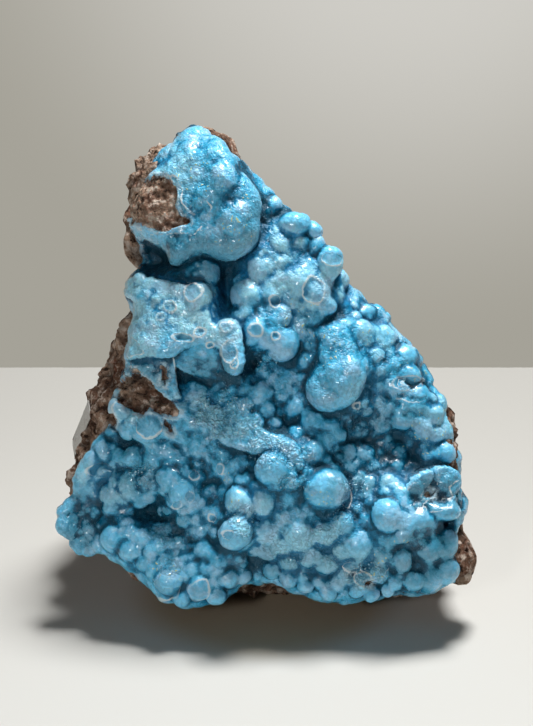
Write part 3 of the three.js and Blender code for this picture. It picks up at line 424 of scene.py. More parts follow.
# The cave under the knob: (across, up, out, half-width, half-height, half-depth).
CAVE = (-37, 118, -3, 10, 7.5, 13)
ROCK_CORE = np.array([1.1, 13.2, 72.0])  # the point that its planes are measured from
ROCK_ROUNDING = 20  # exponent that rounds its edges
ROCK_SMOOTH_FRONT = 0.7  # how much lower its ridges are under the crust
ROCK_CAVE_ROOM = 4.0  # how much wider the cave is in the rock than in the crust
ROCK_SQUARES = 118  # along each edge of the cube that it is blown up from

# The relief of broken rock, in millimetres: how large each kind is, and how high or deep.
RIDGE_HEIGHTS = (2.1, 1.3, 0.7)
LUMP_SIZE, LUMP_HEIGHT = 15, 1.7
BLOCK_SIZE, CRACK_DEPTH = 8.5, 1.2
PIT_SIZE, PIT_DEPTH = 5.2, 2.2
ROCK_CRUMB_SIZE, ROCK_CRUMB_HEIGHT = 2.6, 1.3


def face_direction(across, up, out):
    """A unit vector given in the face's axes, turned into those that the specimen stands in."""
    direction = np.array([across, up, out], float) @ FACE_AXES
    return direction / np.linalg.norm(direction)


LEFT_FLANK = face_direction(-0.92, 0.115, 0.374)

# Planes that bound the rock: (outward normal, distance from the core).
ROCK_PLANES = [
    (OUT, 28.5),  # under the crust
    ((0, 1, 0), 36),  # back
    ((0.05, 0.946, 0.324), 41.5),  # upper back, leaning forward
    (face_direction(0.717, 0.697, 0), 40),  # the slope that falls to the right
    (face_direction(0.96, 0.28, 0), 51),  # right
    (LEFT_FLANK, 60.5),  # left flank, which carries the label
    (face_direction(-0.85, 0.527, -0.02), 51),  # the waist above the left flank
    (face_direction(0, 1, 0), 85),  # top
    (face_direction(-0.8, -0.6, 0), 76),  # lower left
    ((0, -0.45, -0.89), 73),  # underside in front of the foot
    ((0.78, 0, -0.62), 80),  # lower right
    ((-0.88, 0.48, 0), 62),  # back left
    ((0.8, 0.6, 0), 51.6),  # back right
    ((0, 0, -1), 80),  # below the foot, cut off flat at the table
]

# Lumps of rock that stand out of those planes: (across, up, out, half-width, half-height, half-depth).
KNUCKLES = [
    (-26, 126, -20, 22, 27, 13),  # the neck that carries the knob
    (-48, 40, -26, 21, 20, 15),  # the foot of the left flank
    (-20, 147.5, -8, 12, 11, 9),  # crown behind the knob
    (-34.5, 137, -5, 13.2, 15.5, 9),  # broken left side of the knob
    (-40, 68, -4, 11, 8, 7),  # broken patch under the shelf
    (58.5, 48, -8, 5, 18, 6),  # thin rim that shows beyond the crust's right edge
    (63, 15, -7, 6, 9, 8),  # lower right corner
]

# ---- The label ----

LABEL_LONG, LABEL_WIDE, LABEL_THICK = 21.0, 7.5, 0.3
LABEL_MIDDLE = np.array([-65.0, 56.0, -31.0])
LABEL_TEAR = 0.55  # how deep its torn corner goes, in lengths and widths of the slip
LABEL_RUB = 0.28  # how far its edges are rubbed away
LABEL_WAVE = 0.12  # how wavy it is
SEAT_MARGIN = 1.5  # how far its flat seat on the rock reaches past it
SEAT_EDGE = 2.5  # and how wide the seat's soft edge is
SEAM = 0.35  # between the seat and the slip

# ---- The stage and the camera ----

TABLE_SIDE = 3.0  # metres from the middle of the specimen to the table's near and side edges
TABLE_BACK = 0.222  # to its far edge
WALL_BACK = 1.2  # and to the wall far behind it
WALL_SIDE = 4.0  # how far the wall reaches to each side
WALL_LOW, WALL_TOP = -1.5, 0.4  # and where it starts and ends
WALL_GLOW = (0.16, WALL_BACK, 0.21)  # the middle of the pool of light on the wall
GLOW_NEAR, GLOW_FAR = 0.13, 0.55  # how far from there it is brightest, and where it ends
SHADOW_PAINT_MIDDLE = (0.0, -0.01, 0.0)  # the middle of the brownish shadow painted on the table
SHADOW_PAINT_NEAR, SHADOW_PAINT_FAR = 0.034, 0.052  # how far from there the painted shadow is thick, and where it ends

# Lamps: (name, place in metres, diameter in metres, watts).
LAMPS = [
    ("top_lamp", (0.13, 0.125, 0.84), 0.24, 9.9),
    ("front_lamp", (-0.2, -0.6, 0.3), 0.08, 0.84),
    ("low_fill", (-0.3, -1.3, 0.12), 0.6, 0.5),
]
LAMP_TARGET = (0, 0, 0.07)  # the point that they shine at
AIR_STRENGTH = 0.004  # how much light comes from all round
AIR_SEEN = 0.5  # and how bright the air is where the camera looks past the wall

CAMERA_ACROSS, CAMERA_UP = -0.5, 79.0  # the point of the face that the camera looks at
CAMERA_DISTANCE = 560.0
VIEW_MIDDLE = np.array([CAMERA_ACROSS, CAMERA_UP])
IMAGE_LONG = 726  # the image's long side, in pixels
IMAGE_SCALE = 3.0  # pixels to a millimetre of the face
SENSOR_LONG = 36.0

# ---- Colours, as they look on a screen: (red, green, blue), from 0 to 255 ----

# The crust by its tone: darkest where shade is painted deep in its valleys, lightest where light is painted
# on the tops of its balls.
# Painted shade in the deepest valleys.
DEEP_SHADE_BLUE = (0, 50, 64)
VALLEY_BLUE = (0, 78, 104)
FLANK_BLUE = (16, 128, 170)
BALL_BLUE = (76, 188, 230)
TOP_BLUE = (120, 210, 248)
# Its frosted, dusty and glassy places.
FROST_LOW, FROST_HIGH = (48, 160, 216), (184, 240, 255)
VEIL_BLUE = (173, 220, 248)
GLASS_LOW, GLASS_HIGH = (10, 68, 90), (78, 148, 174)
# Painted glints on its sugary grains, large and small, painted shade in the gaps between them, and the gold
# specks on them.
GRAIN_GLINT_BLUE = (170, 222, 244)
CRYSTAL_GLINT_BLUE = (184, 232, 250)
GAP_SHADE_BLUE = (0, 66, 90)
SPECK_GOLD = (214, 214, 136)
# Where it is broken: the hollow of a ball, the ring round it, and the rim of a bare patch.
HOLLOW_BLUE = (66, 138, 172)
RING_WHITE = (224, 236, 238)
RIM_WHITE = (190, 218, 230)
# The rock.
ROCK_BROWN, ROCK_TAN = (122, 90, 72), (176, 148, 126)
ROCK_PALE = (214, 196, 180)
ROCK_BLACK = (44, 28, 20)
ROCK_RED = (122, 66, 45)
CRUMB_BROWN = (70, 48, 36)
PIT_BROWN = (33, 20, 14)
# The label and the stage.
PAPER_LOW, PAPER_HIGH = (214, 212, 206), (232, 231, 226)
# The table, painted paler in front as painted light.
TABLE_FAR, TABLE_FRONT = (188, 186, 180), (212, 211, 206)
# A brownish shadow painted on the table under the specimen.
TABLE_SHADOW_PAINT = (176, 158, 128)
WALL_SKIN = (60, 59, 56)
WALL_DIM, WALL_BRIGHT = (163, 160, 150), (206, 204, 198)
AIR_COLOUR = (236, 238, 240)


# ---- Noise: every random number comes from a fixed seed ----


def scatter(cells, seed):
    """A fixed random number from 0 to 1 for each whole-number cell: its coordinates, multiplied by large odd
    numbers and folded together."""
    c = cells.astype(np.int64).astype(np.uint32)
    mix = c[..., 0] * np.uint32(73856093) ^ c[..., 1] * np.uint32(19349663) ^ c[..., 2] * np.uint32(83492791)
    mix = mix ^ np.uint32(seed * 2654435761 % 2**32)
    for shift, factor in ((15, 2246822519), (13, 3266489917)):
        mix = (mix ^ (mix >> np.uint32(shift))) * np.uint32(factor)
    mix = mix ^ (mix >> np.uint32(16))
    return mix.astype(float) / 2**32


def swell_noise(points, size, seed):
    """Soft lumps of one size, from -1 to 1: random values at the corners of a grid, eased between them."""
    low = np.floor(points / size)
    part = points / size - low
    part = part * part * (3 - 2 * part)
    total = np.zeros(len(points))
    for corner in np.ndindex(2, 2, 2):
        weight = np.prod(np.where(corner, part, 1 - part), axis=1)
        total += weight * scatter(low + corner, seed)
    return 2 * total - 1


def broken_noise(points, size, octaves, seed):
    """Soft lumps with smaller lumps on them: each octave is half as large and half as high as the last."""
    return sum(swell_noise(points, size / 2**k, seed + k) / 2**k for k in range(octaves))


def pebble_noise(points, size, seed):
    """Distances, in sizes, to the nearest and the second nearest of points strewn one to each grid cell."""
    low = np.floor(points / size)
    nearest = np.full(len(points), 9.0)
    second = np.full(len(points), 9.0)
    for offset in np.ndindex(3, 3, 3):
        cell = low + offset - 1
        strewn = cell + np.stack([scatter(cell, seed + k) for k in range(3)], axis=1)
        distance = np.linalg.norm(points / size - strewn, axis=1)
        second = np.minimum(second, np.maximum(nearest, distance))
        nearest = np.minimum(nearest, distance)
    return nearest, second


def domes(points, size, radius, seed):
    """Rounded lumps strewn one to each grid cell, from 0 between them to 1 on top: each falls off with the
    square of the distance, and its radius is given in sizes."""
    nearest, _ = pebble_noise(points, size, seed)
    return np.maximum(0, 1 - (nearest / radius) ** 2)


def zigzag(t):
    """A wave with straight flanks: it runs from -1 to 1 and back while t grows by 1."""
    return 4 * np.abs(t - np.floor(t) - 0.5) - 1


def ease(low, high, value):
    """0 below low, 1 above high, and a smooth rise between."""
    t = np.clip((value - low) / (high - low), 0, 1)
    return t * t * (3 - 2 * t)


# ---- Rays and ellipsoids ----


def crossing(origins, directions, centre, half_sizes):
    """The distances at which rays enter and leave an ellipsoid: both are NaN where a ray misses it."""
    start = (origins - centre) / half_sizes
    step = directions / half_sizes
    a = np.sum(step * step, axis=-1)
    b = np.sum(start * step, axis=-1)
    under_root = b * b - a * (np.sum(start * start, axis=-1) - 1)
    root = np.sqrt(np.where(under_root < 0, np.nan, under_root))
    return (-b - root) / a, (-b + root) / a


def soft_max(a, b, blend):
    """The larger of two reaches, run together softly where they are nearly the same."""
    nearness = np.clip(1 - np.abs(a - b) / (4 * blend), 0, 1)
    return np.maximum(a, b) + blend * nearness**2


# ---- Meshes ----


def corner_normals(points, faces):
    """The normal at each point: the sum of the normals of its faces, weighted by their areas."""
    normals = np.zeros_like(points)
    for loop in faces:
        first, second, third = points[loop[:, 0]], points[loop[:, 1]], points[loop[:, 2]]
        across = np.cross(second - first, third - first)
        if loop.shape[1] == 4:
            across = across + np.cross(third - first, points[loop[:, 3]] - first)
        for column in loop.T:
            np.add.at(normals, column, across)
    return normals / (np.linalg.norm(normals, axis=1, keepdims=True) + 1e-12)


def make_piece(name, points, faces, material, node, attributes=None):
    """A mesh object from points in millimetres and lists of faces, which rides on the specimen's one body and
    stands for a solid. Attributes are one number for each point."""
    mesh = bpy.data.meshes.new(name)
    mesh.from_pydata((points * MM).tolist(), [], [face for loop in faces for face in loop.tolist()])
    mesh.polygons.foreach_set("use_smooth", np.ones(len(mesh.polygons), bool))
    for key, values in (attributes or {}).items():
        mesh.attributes.new(key, "FLOAT", "POINT").data.foreach_set("value", values.astype(np.float32))
    mesh.validate()
    mesh.update()
    mesh.materials.append(material)
    piece = bpy.data.objects.new(name, mesh)
    bpy.context.scene.collection.objects.link(piece)
    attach(piece, "root")
    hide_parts(node)
    return piece


def on_face(points):
    """Points given as across, up and out, turned into the axes that the specimen stands in."""
    return FACE_FOOT + points @ FACE_AXES


# ---- The crust: its surface ----


def edge_line(points, fractions):
    """A smooth line through points (each stretch is the cubic whose slope at a point is half the step between
    its neighbours), read at fractions of its length."""
    p = np.array(points, float)
    p = np.vstack([p[0], p, p[-1]])
    t = np.linspace(0, 1, 40, endpoint=False)[:, None]
    stretches = []
    for a, b, c, d in zip(p[:-3], p[1:-2], p[2:-1], p[3:]):
        start, end = (c - a) / 2, (d - b) / 2
        stretches.append(
            (2 * t**3 - 3 * t**2 + 1) * b + (t**3 - 2 * t**2 + t) * start
            + (3 * t**2 - 2 * t**3) * c + (t**3 - t**2) * end
        )
    line = np.vstack([*stretches, p[-1:]])
    length = np.concatenate([[0], np.cumsum(np.linalg.norm(np.diff(line, axis=0), axis=1))])
    return np.stack([np.interp(fractions * length[-1], length, line[:, k]) for k in range(2)], axis=-1)


def between_edges(s, t):
    """The points of the face at fractions s across and t up between its four edges: the two blends of
    opposite edges are added, and the blend of the four corners is taken away."""
    left, right = edge_line(LEFT_EDGE, t), edge_line(RIGHT_EDGE, t)
    bottom, top = edge_line(BOTTOM_EDGE, s), edge_line(TOP_EDGE, s)
    s, t = s[..., None], t[..., None]
    corners = (
        np.array(LEFT_EDGE[0]) * (1 - s) * (1 - t) + np.array(RIGHT_EDGE[0]) * s * (1 - t)
        + np.array(LEFT_EDGE[-1]) * (1 - s) * t + np.array(RIGHT_EDGE[-1]) * s * t
    )
    return left * (1 - s) + right * s + bottom * (1 - t) + top * t - corners


def crust_level(feet):
    """How far out the crust lies between the balls: the balls nearby, weighted by a bell curve of their
    distance, lift it towards them."""
    weights = np.full(len(feet), 0.1)
    total = weights * CRUST_LEVEL
    for across, up, top, radius in BALLS:
        apart = (feet[:, 0] - across) ** 2 + (feet[:, 1] - up) ** 2
        weight = np.exp(-apart / (2 * CRUST_SPREAD**2))
        weights += weight
        total += weight * (top - CRUST_SINK * radius)
    return total / weights


def inside(points, outline):
    """How far points lie inside a closed outline: the distance to its nearest side, less than 0 outside."""
    nearest = np.full(len(points), np.inf)
    within = np.zeros(len(points), bool)
    x, y = points.T
    for (ax, ay), (bx, by) in zip(outline, np.roll(outline, -1, axis=0)):
        length = max((bx - ax) ** 2 + (by - ay) ** 2, 1e-9)
        t = np.clip(((x - ax) * (bx - ax) + (y - ay) * (by - ay)) / length, 0, 1)
        nearest = np.minimum(nearest, np.hypot(x - ax - t * (bx - ax), y - ay - t * (by - ay)))
        if ay != by:
            within ^= ((ay > y) != (by > y)) & (x < (bx - ax) * (y - ay) / (by - ay) + ax)
    return np.where(within, nearest, -nearest)


def turned(points, x, y, tilt):
    """Points as seen from a spot, with their axes turned by a tilt in degrees."""
    cos, sin = math.cos(math.radians(tilt)), math.sin(math.radians(tilt))
    dx, dy = points[..., 0] - x, points[..., 1] - y
    return np.stack([dx * cos + dy * sin, dy * cos - dx * sin], axis=-1)


def as_seen(places, height):
    """Where places show from the front when they stand at a height: the nearer they come, the farther from
    the middle of the view they show."""
    grown = CAMERA_DISTANCE / (CAMERA_DISTANCE - np.maximum(height, 0))
    return VIEW_MIDDLE + (places - VIEW_MIDDLE) * grown[..., None]


def shape_of(bud):
    """A ball's stretch and tilt: 1 and 0 where its row leaves them out."""
    given = bud[4:]
    return (*given, *(1.0, 0.0)[len(given):])


def ground_height(feet, drift=0.0):
    """How far out the ground between the balls lies: the crust's level, dented by bell curves, or the top of
    a ledge, rounded off to its edge, where that is higher, and on it the swellings, which are flat domes.
    Drift is how far a ray slides sideways for each millimetre outwards."""
    places = feet + drift * (MEAN_LEVEL - CRUST_ROOT)
    height = crust_level(places)
    for x, y, half_width, half_height, tilt, depth in DENTS:
        apart = turned(places, x, y, tilt) / (half_width, half_height)
        height = height - depth * np.exp(-np.sum(apart**2, axis=1))
    for middle_height, slope_across, slope_up, rounding, outline in LEDGES:
        places = as_seen(feet + drift * (middle_height - CRUST_ROOT), np.array(middle_height))
        loop = edge_line([*outline, outline[0]], np.linspace(0, 1, 72, endpoint=False))
        near = np.flatnonzero(np.all((places > loop.min(axis=0)) & (places < loop.max(axis=0)), axis=1))
        depth = inside(places[near], loop)
        top = middle_height + (places[near] - np.mean(outline, axis=0)) @ (slope_across, slope_up)
        short = 1 - np.clip(depth / rounding, 0, 1)
        top = top - rounding * (1 - np.sqrt(1 - short**2))
        height[near] = np.where(depth > 0, soft_max(height[near], top, CRUST_BLEND), height[near])
    places = as_seen(feet + drift * (height - CRUST_ROOT)[:, None], height)
    swelling = np.zeros(len(feet))
    for bud in BUDS:
        x, y, radius, stand = bud[:4]
        if stand < LOW_STAND:
            stretch, tilt = shape_of(bud)
            half_sizes = (radius / math.sqrt(stretch), radius * math.sqrt(stretch))
            apart = turned(places, x, y, tilt) / half_sizes
            dome = stand**STAND_POWER * radius * (1 - np.sum(apart**2, axis=1))
            swelling = soft_max(swelling, np.maximum(dome, 0), CRUST_BLEND)
    return height + swelling


def ball_table():
    """Every ball as a cap of an ellipsoid: its spot, tilt, top and half-sizes. The cap is as wide, where it
    leaves the ground, as its ball shows from the front. Its spot is drawn in a little towards the middle of
    the view, by as much as its height brings it nearer."""
    rows = np.array([(*row[:4], *shape_of(row)) for row in BUDS + filler_balls() if row[3] >= LOW_STAND])
    spots = rows[:, :2]
    radius, stand, stretch, tilt = rows[:, 2:].T
    stand = stand**STAND_POWER
    rise = ground_height(spots) + stand * radius
    spots = VIEW_MIDDLE + (spots - VIEW_MIDDLE) * (1 - np.maximum(rise, 0) / CAMERA_DISTANCE)[:, None]
    whole = (1 + stand**2) / (2 * stand)
    wide, high = radius * np.sqrt(1 / stretch), radius * np.sqrt(stretch)
    return zip(spots, tilt, rise, np.column_stack([wide, high, radius]) * whole[:, None])


def filler_balls():
    """Small balls strewn near the knots of a net, of random sizes, flatter towards the crust's rim. None of
    them stands on a ledge or in a dent."""
    across, up = np.meshgrid(np.arange(-76, 76, FILLER_NET), np.arange(-2, 156, FILLER_NET))
    knots = np.column_stack([across.ravel(), up.ravel(), np.zeros(across.size)])
    chances = np.stack([scatter(np.round(knots), SEED + 50 + k) for k in range(4)], axis=1)
    spots = knots[:, :2] + FILLER_NET * (chances[:, :2] - 0.5)
    smallest, largest = FILLER_RADII
    radii = smallest + (largest - smallest) * chances[:, 2] ** 1.5
    outline = BOTTOM_EDGE + RIGHT_EDGE + TOP_EDGE[::-1] + LEFT_EDGE[::-1]
    depth = inside(spots, np.array(outline, float))
    kept = depth > FILLER_MARGIN
    for *_, ledge in LEDGES:
        kept &= inside(spots, np.array(ledge, float)) < -0.7 * radii
    for x, y, half_width, half_height, tilt, _ in DENTS:
        kept &= np.sum((turned(spots, x, y, tilt) / (half_width, half_height)) ** 2, axis=1) > 0.8
    stands = np.maximum(LOW_STAND, (0.3 + 0.5 * chances[:, 3]) * ease(0, 16, depth))
    return [tuple(row) for row in np.column_stack([spots, radii, stands])[kept].tolist()]


def crust_growth(across, up, balls):
    """Where the front of the crust grows to, for points from -1 to 1 across and up its sheet, and how far
    that is above the ground. A ray starts behind each point of the face, straight out in the middle and
    flared at the rim, which wanders. It runs to the ground, or to where it leaves the last ball if that is
    farther."""
    feet = between_edges((across + 1) / 2, (up + 1) / 2)
    outwards = np.maximum(np.abs(across), np.abs(up))
    edge = outwards**RIM_SHAKE_POWER
    roots = np.column_stack([feet, np.full(len(feet), CRUST_ROOT)])
    ragged = np.column_stack([broken_noise(roots, RIM_SHAKE_SIZE, 3, SEED + k) for k in (92, 96)])
    feet = feet + RIM_SHAKE * edge[:, None] * ragged
    roots[:, :2] = feet
    steep = np.where(across < 0, LEFT_STEEPNESS * ease(-0.6, 0, up), RIGHT_STEEPNESS * ease(0.6, 0.85, up))
    wrap = CRUST_WRAP * (1 - steep)
    rise = CRUST_WRAP * np.where(up > 0, 1 - TOP_STEEPNESS, 1)
    directions = np.column_stack([wrap * across**WRAP_POWER, rise * up**WRAP_POWER, np.ones(len(feet))])
    directions /= np.linalg.norm(directions, axis=1, keepdims=True)
    rim = np.minimum(outwards**RIM_POWER, 1)
    shake = SHAKE * np.column_stack([swell_noise(roots, SHAKE_SIZE, SEED + k) for k in (1, 2)] + [0 * across])
    drift = directions[:, :2] / directions[:, 2:]
    depth = np.maximum(ground_height(feet + shake[:, :2], drift) - CRUST_ROOT, 0)
    reach = CRUST_LIP + depth * np.sqrt(1 - rim)
    ground = reach.copy()
    for spot, tilt, top, half_sizes in balls:
        # Only the rays that end near the ball are tried on it.
        here = roots + directions * reach[:, None]
        around = 1.3 * half_sizes[:2].max() + 4
        near = np.flatnonzero(np.max(np.abs(here[:, :2] - spot), axis=1) < around)
        start, step = roots[near] + shake[near], directions[near]
        start = np.column_stack([turned(start, *spot, tilt), start[:, 2]])
        step = np.column_stack([turned(step, 0, 0, tilt), step[:, 2]])
        _, leave = crossing(start, step, np.array([0, 0, top - half_sizes[2]]), half_sizes)
        reach[near] = np.where(np.isnan(leave), reach[near], soft_max(reach[near], leave, CRUST_BLEND))
    return roots + directions * reach[:, None], reach - ground


def even_out(across, up, points, rounds):
    """Slides the sheet's points towards their farther neighbours, so that steep flanks get their share. Each
    point moves to the mean of its four neighbours, weighted by how far off they are, and its height is read
    between the points of the first sheet."""
    rows, columns = across.shape

    def read(x, y):
        i = np.clip((y + 1) / 2 * (rows - 1), 0, rows - 1.001)
        j = np.clip((x + 1) / 2 * (columns - 1), 0, columns - 1.001)
        i0, j0 = i.astype(int), j.astype(int)
        di, dj = (i - i0)[..., None], (j - j0)[..., None]
        low = points[i0, j0] * (1 - dj) + points[i0, j0 + 1] * dj
        high = points[i0 + 1, j0] * (1 - dj) + points[i0 + 1, j0 + 1] * dj
        return low * (1 - di) + high * di

    place = np.stack([across, up], axis=-1)
    for _ in range(rounds):
        there = read(place[..., 0], place[..., 1])
        middle, here = place[1:-1, 1:-1], there[1:-1, 1:-1]
        total, weights = 0.6 * middle, 0.6
        for rows_cut, columns_cut in (
            (slice(2, None), slice(1, -1)), (slice(0, -2), slice(1, -1)),
            (slice(1, -1), slice(2, None)), (slice(1, -1), slice(0, -2)),
        ):
            far = np.linalg.norm(there[rows_cut, columns_cut] - here, axis=-1, keepdims=True)
            total = total + far * place[rows_cut, columns_cut]
            weights = weights + far
        place[1:-1, 1:-1] = (place[1:-1, 1:-1] + total / weights) / 2
    return place[..., 0], place[..., 1]


def beside(points, line):
    """The distance from points to the nearest stretch of an open line."""
    nearest = np.full(len(points), np.inf)
    for start, end in zip(np.array(line[:-1]), np.array(line[1:])):
        step = end - start
        t = np.clip((points - start) @ step / (step @ step), 0, 1)
        nearest = np.minimum(nearest, np.linalg.norm(points - start - t[:, None] * step, axis=1))
    return nearest


def near_marks(points, marks):
    """For each point, the distance in millimetres to the line of the nearest ring or arc, less than 0 inside
    it. A mark's angles run anticlockwise, in degrees."""
    nearest = np.full(len(points), 9.0)
    for x, y, half_width, half_height, start, end in marks:
        dx, dy = points[:, 0] - x, points[:, 1] - y
        size = math.sqrt(half_width * half_height)
        apart = (np.hypot(dx / half_width, dy / half_height) - 1) * size
        turn = (np.degrees(np.arctan2(dy / half_height, dx / half_width)) - start) % 360
        past = np.maximum(0, np.minimum(turn - (end - start), 360 - turn)) * np.radians(1) * size
        apart = np.where(apart < 0, apart - past, apart + past)
        nearest = np.where(np.abs(apart) < np.abs(nearest), apart, nearest)
    return nearest


def patches(points, spots):
    """How far each point is inside the nearest of some soft-edged spots: its strength in its middle and 0
    outside it, with an uneven edge."""
    wobble = 0.35 * broken_noise(points, 7, 3, SEED + 40)
    most = np.zeros(len(points))
    for x, y, half_width, half_height, strength in spots:
        apart = np.hypot((points[:, 0] - x) / half_width, (points[:, 1] - y) / half_height)
        most = np.maximum(most, strength * (1 - ease(0.55, 1.15, apart + wobble)))
    return most


def smoothed(values, reach):
    """A grid of values, each the mean of those within a reach of it, in rows and columns, taken twice."""
    count = 2 * reach + 1
    for _ in range(2):
        for axis in (0, 1):
            pad = [(reach + 1, reach) if k == axis else (0, 0) for k in (0, 1)]
            sums = np.cumsum(np.pad(values, pad, mode="edge"), axis=axis)
            length = sums.shape[axis]
            above = np.take(sums, range(count, length), axis)
            below = np.take(sums, range(length - count), axis)
            values = (above - below) / count
    return values


def crust_front():
    """The front of the crust: a grid of places across and up its sheet, evened out, with the point that each
    grows to and how far that bulges out of the ground."""
    across, up = np.meshgrid(np.linspace(-1, 1, SHEET_COLUMNS), np.linspace(-1, 1, SHEET_ROWS))
    balls = list(ball_table())
    first, _ = crust_growth(across.ravel(), up.ravel(), balls)
    across, up = even_out(across, up, first.reshape(SHEET_ROWS, SHEET_COLUMNS, 3), EVEN_ROUNDS)
    front, bulge = crust_growth(across.ravel(), up.ravel(), balls)
    return across, up, front, bulge


def closed_behind(across, up, front):
    """The points and faces of the crust once its front is closed behind: a skirt of rings eases from the rim
    to half way between its roots and a point inside the rock, and one last point closes it there. The third
    result is how near the rim each point lies: 1 on it, 0 well inside the front and at the last ring."""
    grid = np.arange(len(front)).reshape(SHEET_ROWS, SHEET_COLUMNS)
    cells = np.stack([grid[:-1, :-1], grid[:-1, 1:], grid[1:, 1:], grid[1:, :-1]], axis=-1).reshape(-1, 4)
    rim = np.concatenate([grid[0, :-1], grid[:-1, -1], grid[-1, :0:-1], grid[:0:-1, 0]])
    feet = between_edges((across.ravel()[rim] + 1) / 2, (up.ravel()[rim] + 1) / 2)
    inner = (np.column_stack([feet, np.full(len(feet), CRUST_ROOT)]) + CRUST_MIDDLE) / 2
    share = (np.arange(1, SKIRT_ROWS + 1) / SKIRT_ROWS)[:, None, None]
    skirt = front[rim] * (1 - share) + inner * share
    centre = skirt[-1].mean(axis=0)
    points = np.vstack([front, skirt.reshape(-1, 3), centre[None]])
    rings = np.vstack([rim, len(front) + np.arange(SKIRT_ROWS * len(rim)).reshape(SKIRT_ROWS, -1)])
    ahead = np.roll(rings, -1, axis=1)
    walls = np.stack([rings[:-1], rings[1:], ahead[1:], ahead[:-1]], axis=-1).reshape(-1, 4)
    fan = np.column_stack([ahead[-1], rings[-1], np.full(len(rim), len(points) - 1)])
    near_rim = ease(0.88, 0.96, np.maximum(np.abs(across), np.abs(up)).ravel())
    near_rim = np.concatenate([near_rim, np.repeat(1 - share.ravel(), len(rim)), [0]])
    return points, [np.vstack([cells, walls]), fan], near_rim


def crust_measures(points, bulge):
    """The marks and patches, as one number for each point: how far it is from the nearest ring or crack, and
    from the edge of the nearest bare patch (less than 0 inside either), and how frosted, glassy, sugary with
    druse and golden it is."""
    wander = np.column_stack([broken_noise(points, 3.5, 3, SEED + k) for k in (46, 49)])
    places = points[:, :2] + LINE_WANDER * wander
    line = near_marks(places, MARKS)
    for crack in CRACKS:
        apart = CRACK_THINNESS * beside(places, crack)
        line = np.where(apart < np.abs(line), apart, line)
    line = line + LINE_FRAY * broken_noise(points, 2.5, 3, SEED + 52)
    depth = np.max([inside(points[:, :2], np.array(patch)) for patch in BARE_PATCHES], axis=0)
    bare = BARE_FRAY * broken_noise(points, 5, 4, SEED + 20) - depth
    druse = np.maximum(patches(points, DRUSE_PATCHES), 0.35 * (1 - ease(0.2, 2.5, bulge)))
    return {
        "line": line, "bare": bare, "druse": druse, "frost": patches(points, FROST_PATCHES),
        "glassy": patches(points, GLASSY_PATCHES),
    }


def crust_relief(points, bulge, near_rim, measures):
    """How far each point is lifted off the surface, or sunk if that is less than 0: by small lumps, most in
    the valleys and the druse, fewest in the frost; by larger ones on the flanks; by chips, which are two
    waves with straight flanks, bent by lumps; and by rings. Bare patches are sunk and crumbly instead."""
    names = ("line", "bare", "druse", "frost", "glassy")
    line, bare, druse, frost, glassy = (measures[name] for name in names)
    valley = 1 - ease(0.3, 2.5, bulge)
    calm = 1 - 0.7 * np.maximum(0.5 * glassy, frost * (1 - druse))
    grapes = GRAPE_HEIGHT * domes(points, GRAPE_SIZE, 0.7, SEED + 30)
    seeds = SEED_HEIGHT * domes(points, SEED_SIZE, 0.7, SEED + 33)
    growth = calm * ((0.1 + 0.9 * valley) * grapes + (0.08 + 0.3 * valley + druse) * seeds)
    growth += UNEVEN_HEIGHT * broken_noise(points, UNEVEN_SIZE, 4, SEED + 36)
    growth += near_rim * FLANK_HEIGHT * domes(points, FLANK_SIZE, 0.75, SEED + 55)

    x, y, z = points.T
    bend = 0.3 * broken_noise(points, 6, 2, SEED + 58)
    chips = zigzag(0.09 * x + 0.07 * y + bend) + 0.6 * zigzag(0.15 * y - 0.11 * x + 0.1 * z + bend)
    growth += CHIP_HEIGHT * patches(points, CHIPPED_PATCHES) * chips

    growth += RING_HEIGHT * np.exp(-((line / RING_WIDTH) ** 2)) - RING_HOLLOW * ease(0.2, 1.2, -line)
    crumb, _ = pebble_noise(points, CRUMB_SIZE, SEED + 38)
    broken = 1 - ease(-0.4, 0.5, bare)
    return np.where(broken > 0, growth * (1 - broken) + broken * BARE_DEPTH * (crumb - 1.3), growth)


def make_crust(material):
    """The crust as one closed mesh, with its relief and the numbers that its looks are worked out from."""
    across, up, front, bulge = crust_front()
    points, faces, near_rim = closed_behind(across, up, front)
    hidden = len(points) - len(front)
    bulge = np.concatenate([bulge, np.zeros(hidden)])
    measures = crust_measures(points, bulge)
    growth = crust_relief(points, bulge, near_rim, measures)
    points = points + corner_normals(points, faces) * growth[:, None]

    # How far the crust stands above its surroundings, within a few balls and within a few grains.
    height = points[: len(front), 2].reshape(across.shape)
    for name, reach in (("proud", 11), ("crisp", 3)):
        above = (height - smoothed(height, reach)).ravel()
        measures[name] = np.concatenate([above, np.full(hidden, -1.0)])
    measures["gold"] = patches(points, GOLD_PATCHES)
    return make_piece(
        "hemimorphite_botryoids", on_face(points), faces, material, "hemimorphite_crust",
        measures,
    )


# ---- The rock ----


def cube_shell(count):
    """The points on the skin of a cube from -1 to 1, with count squares along each edge, and its squares,
    wound outwards. The points bend towards equal angles from its middle."""
    i, j = np.meshgrid(np.arange(count), np.arange(count), indexing="ij")
    sides = []
    for axis, side in ((axis, side) for axis in range(3) for side in (0, count)):
        loop = [(i, j), (i + 1, j), (i + 1, j + 1), (i, j + 1)]
        cells = np.zeros((count * count, 4, 3), int)
        cells[..., axis] = side
        for k, (a, b) in enumerate(loop if side else reversed(loop)):
            cells[:, k, (axis + 1) % 3] = a.ravel()
            cells[:, k, (axis + 2) % 3] = b.ravel()
        sides.append(cells)
    corners = np.concatenate(sides).reshape(-1, 3)
    keys = corners @ np.array([(count + 1) ** 2, count + 1, 1])
    _, kept, squares = np.unique(keys, return_index=True, return_inverse=True)
    return np.tan((corners[kept] / count * 2 - 1) * math.pi / 4), squares.reshape(-1, 4)


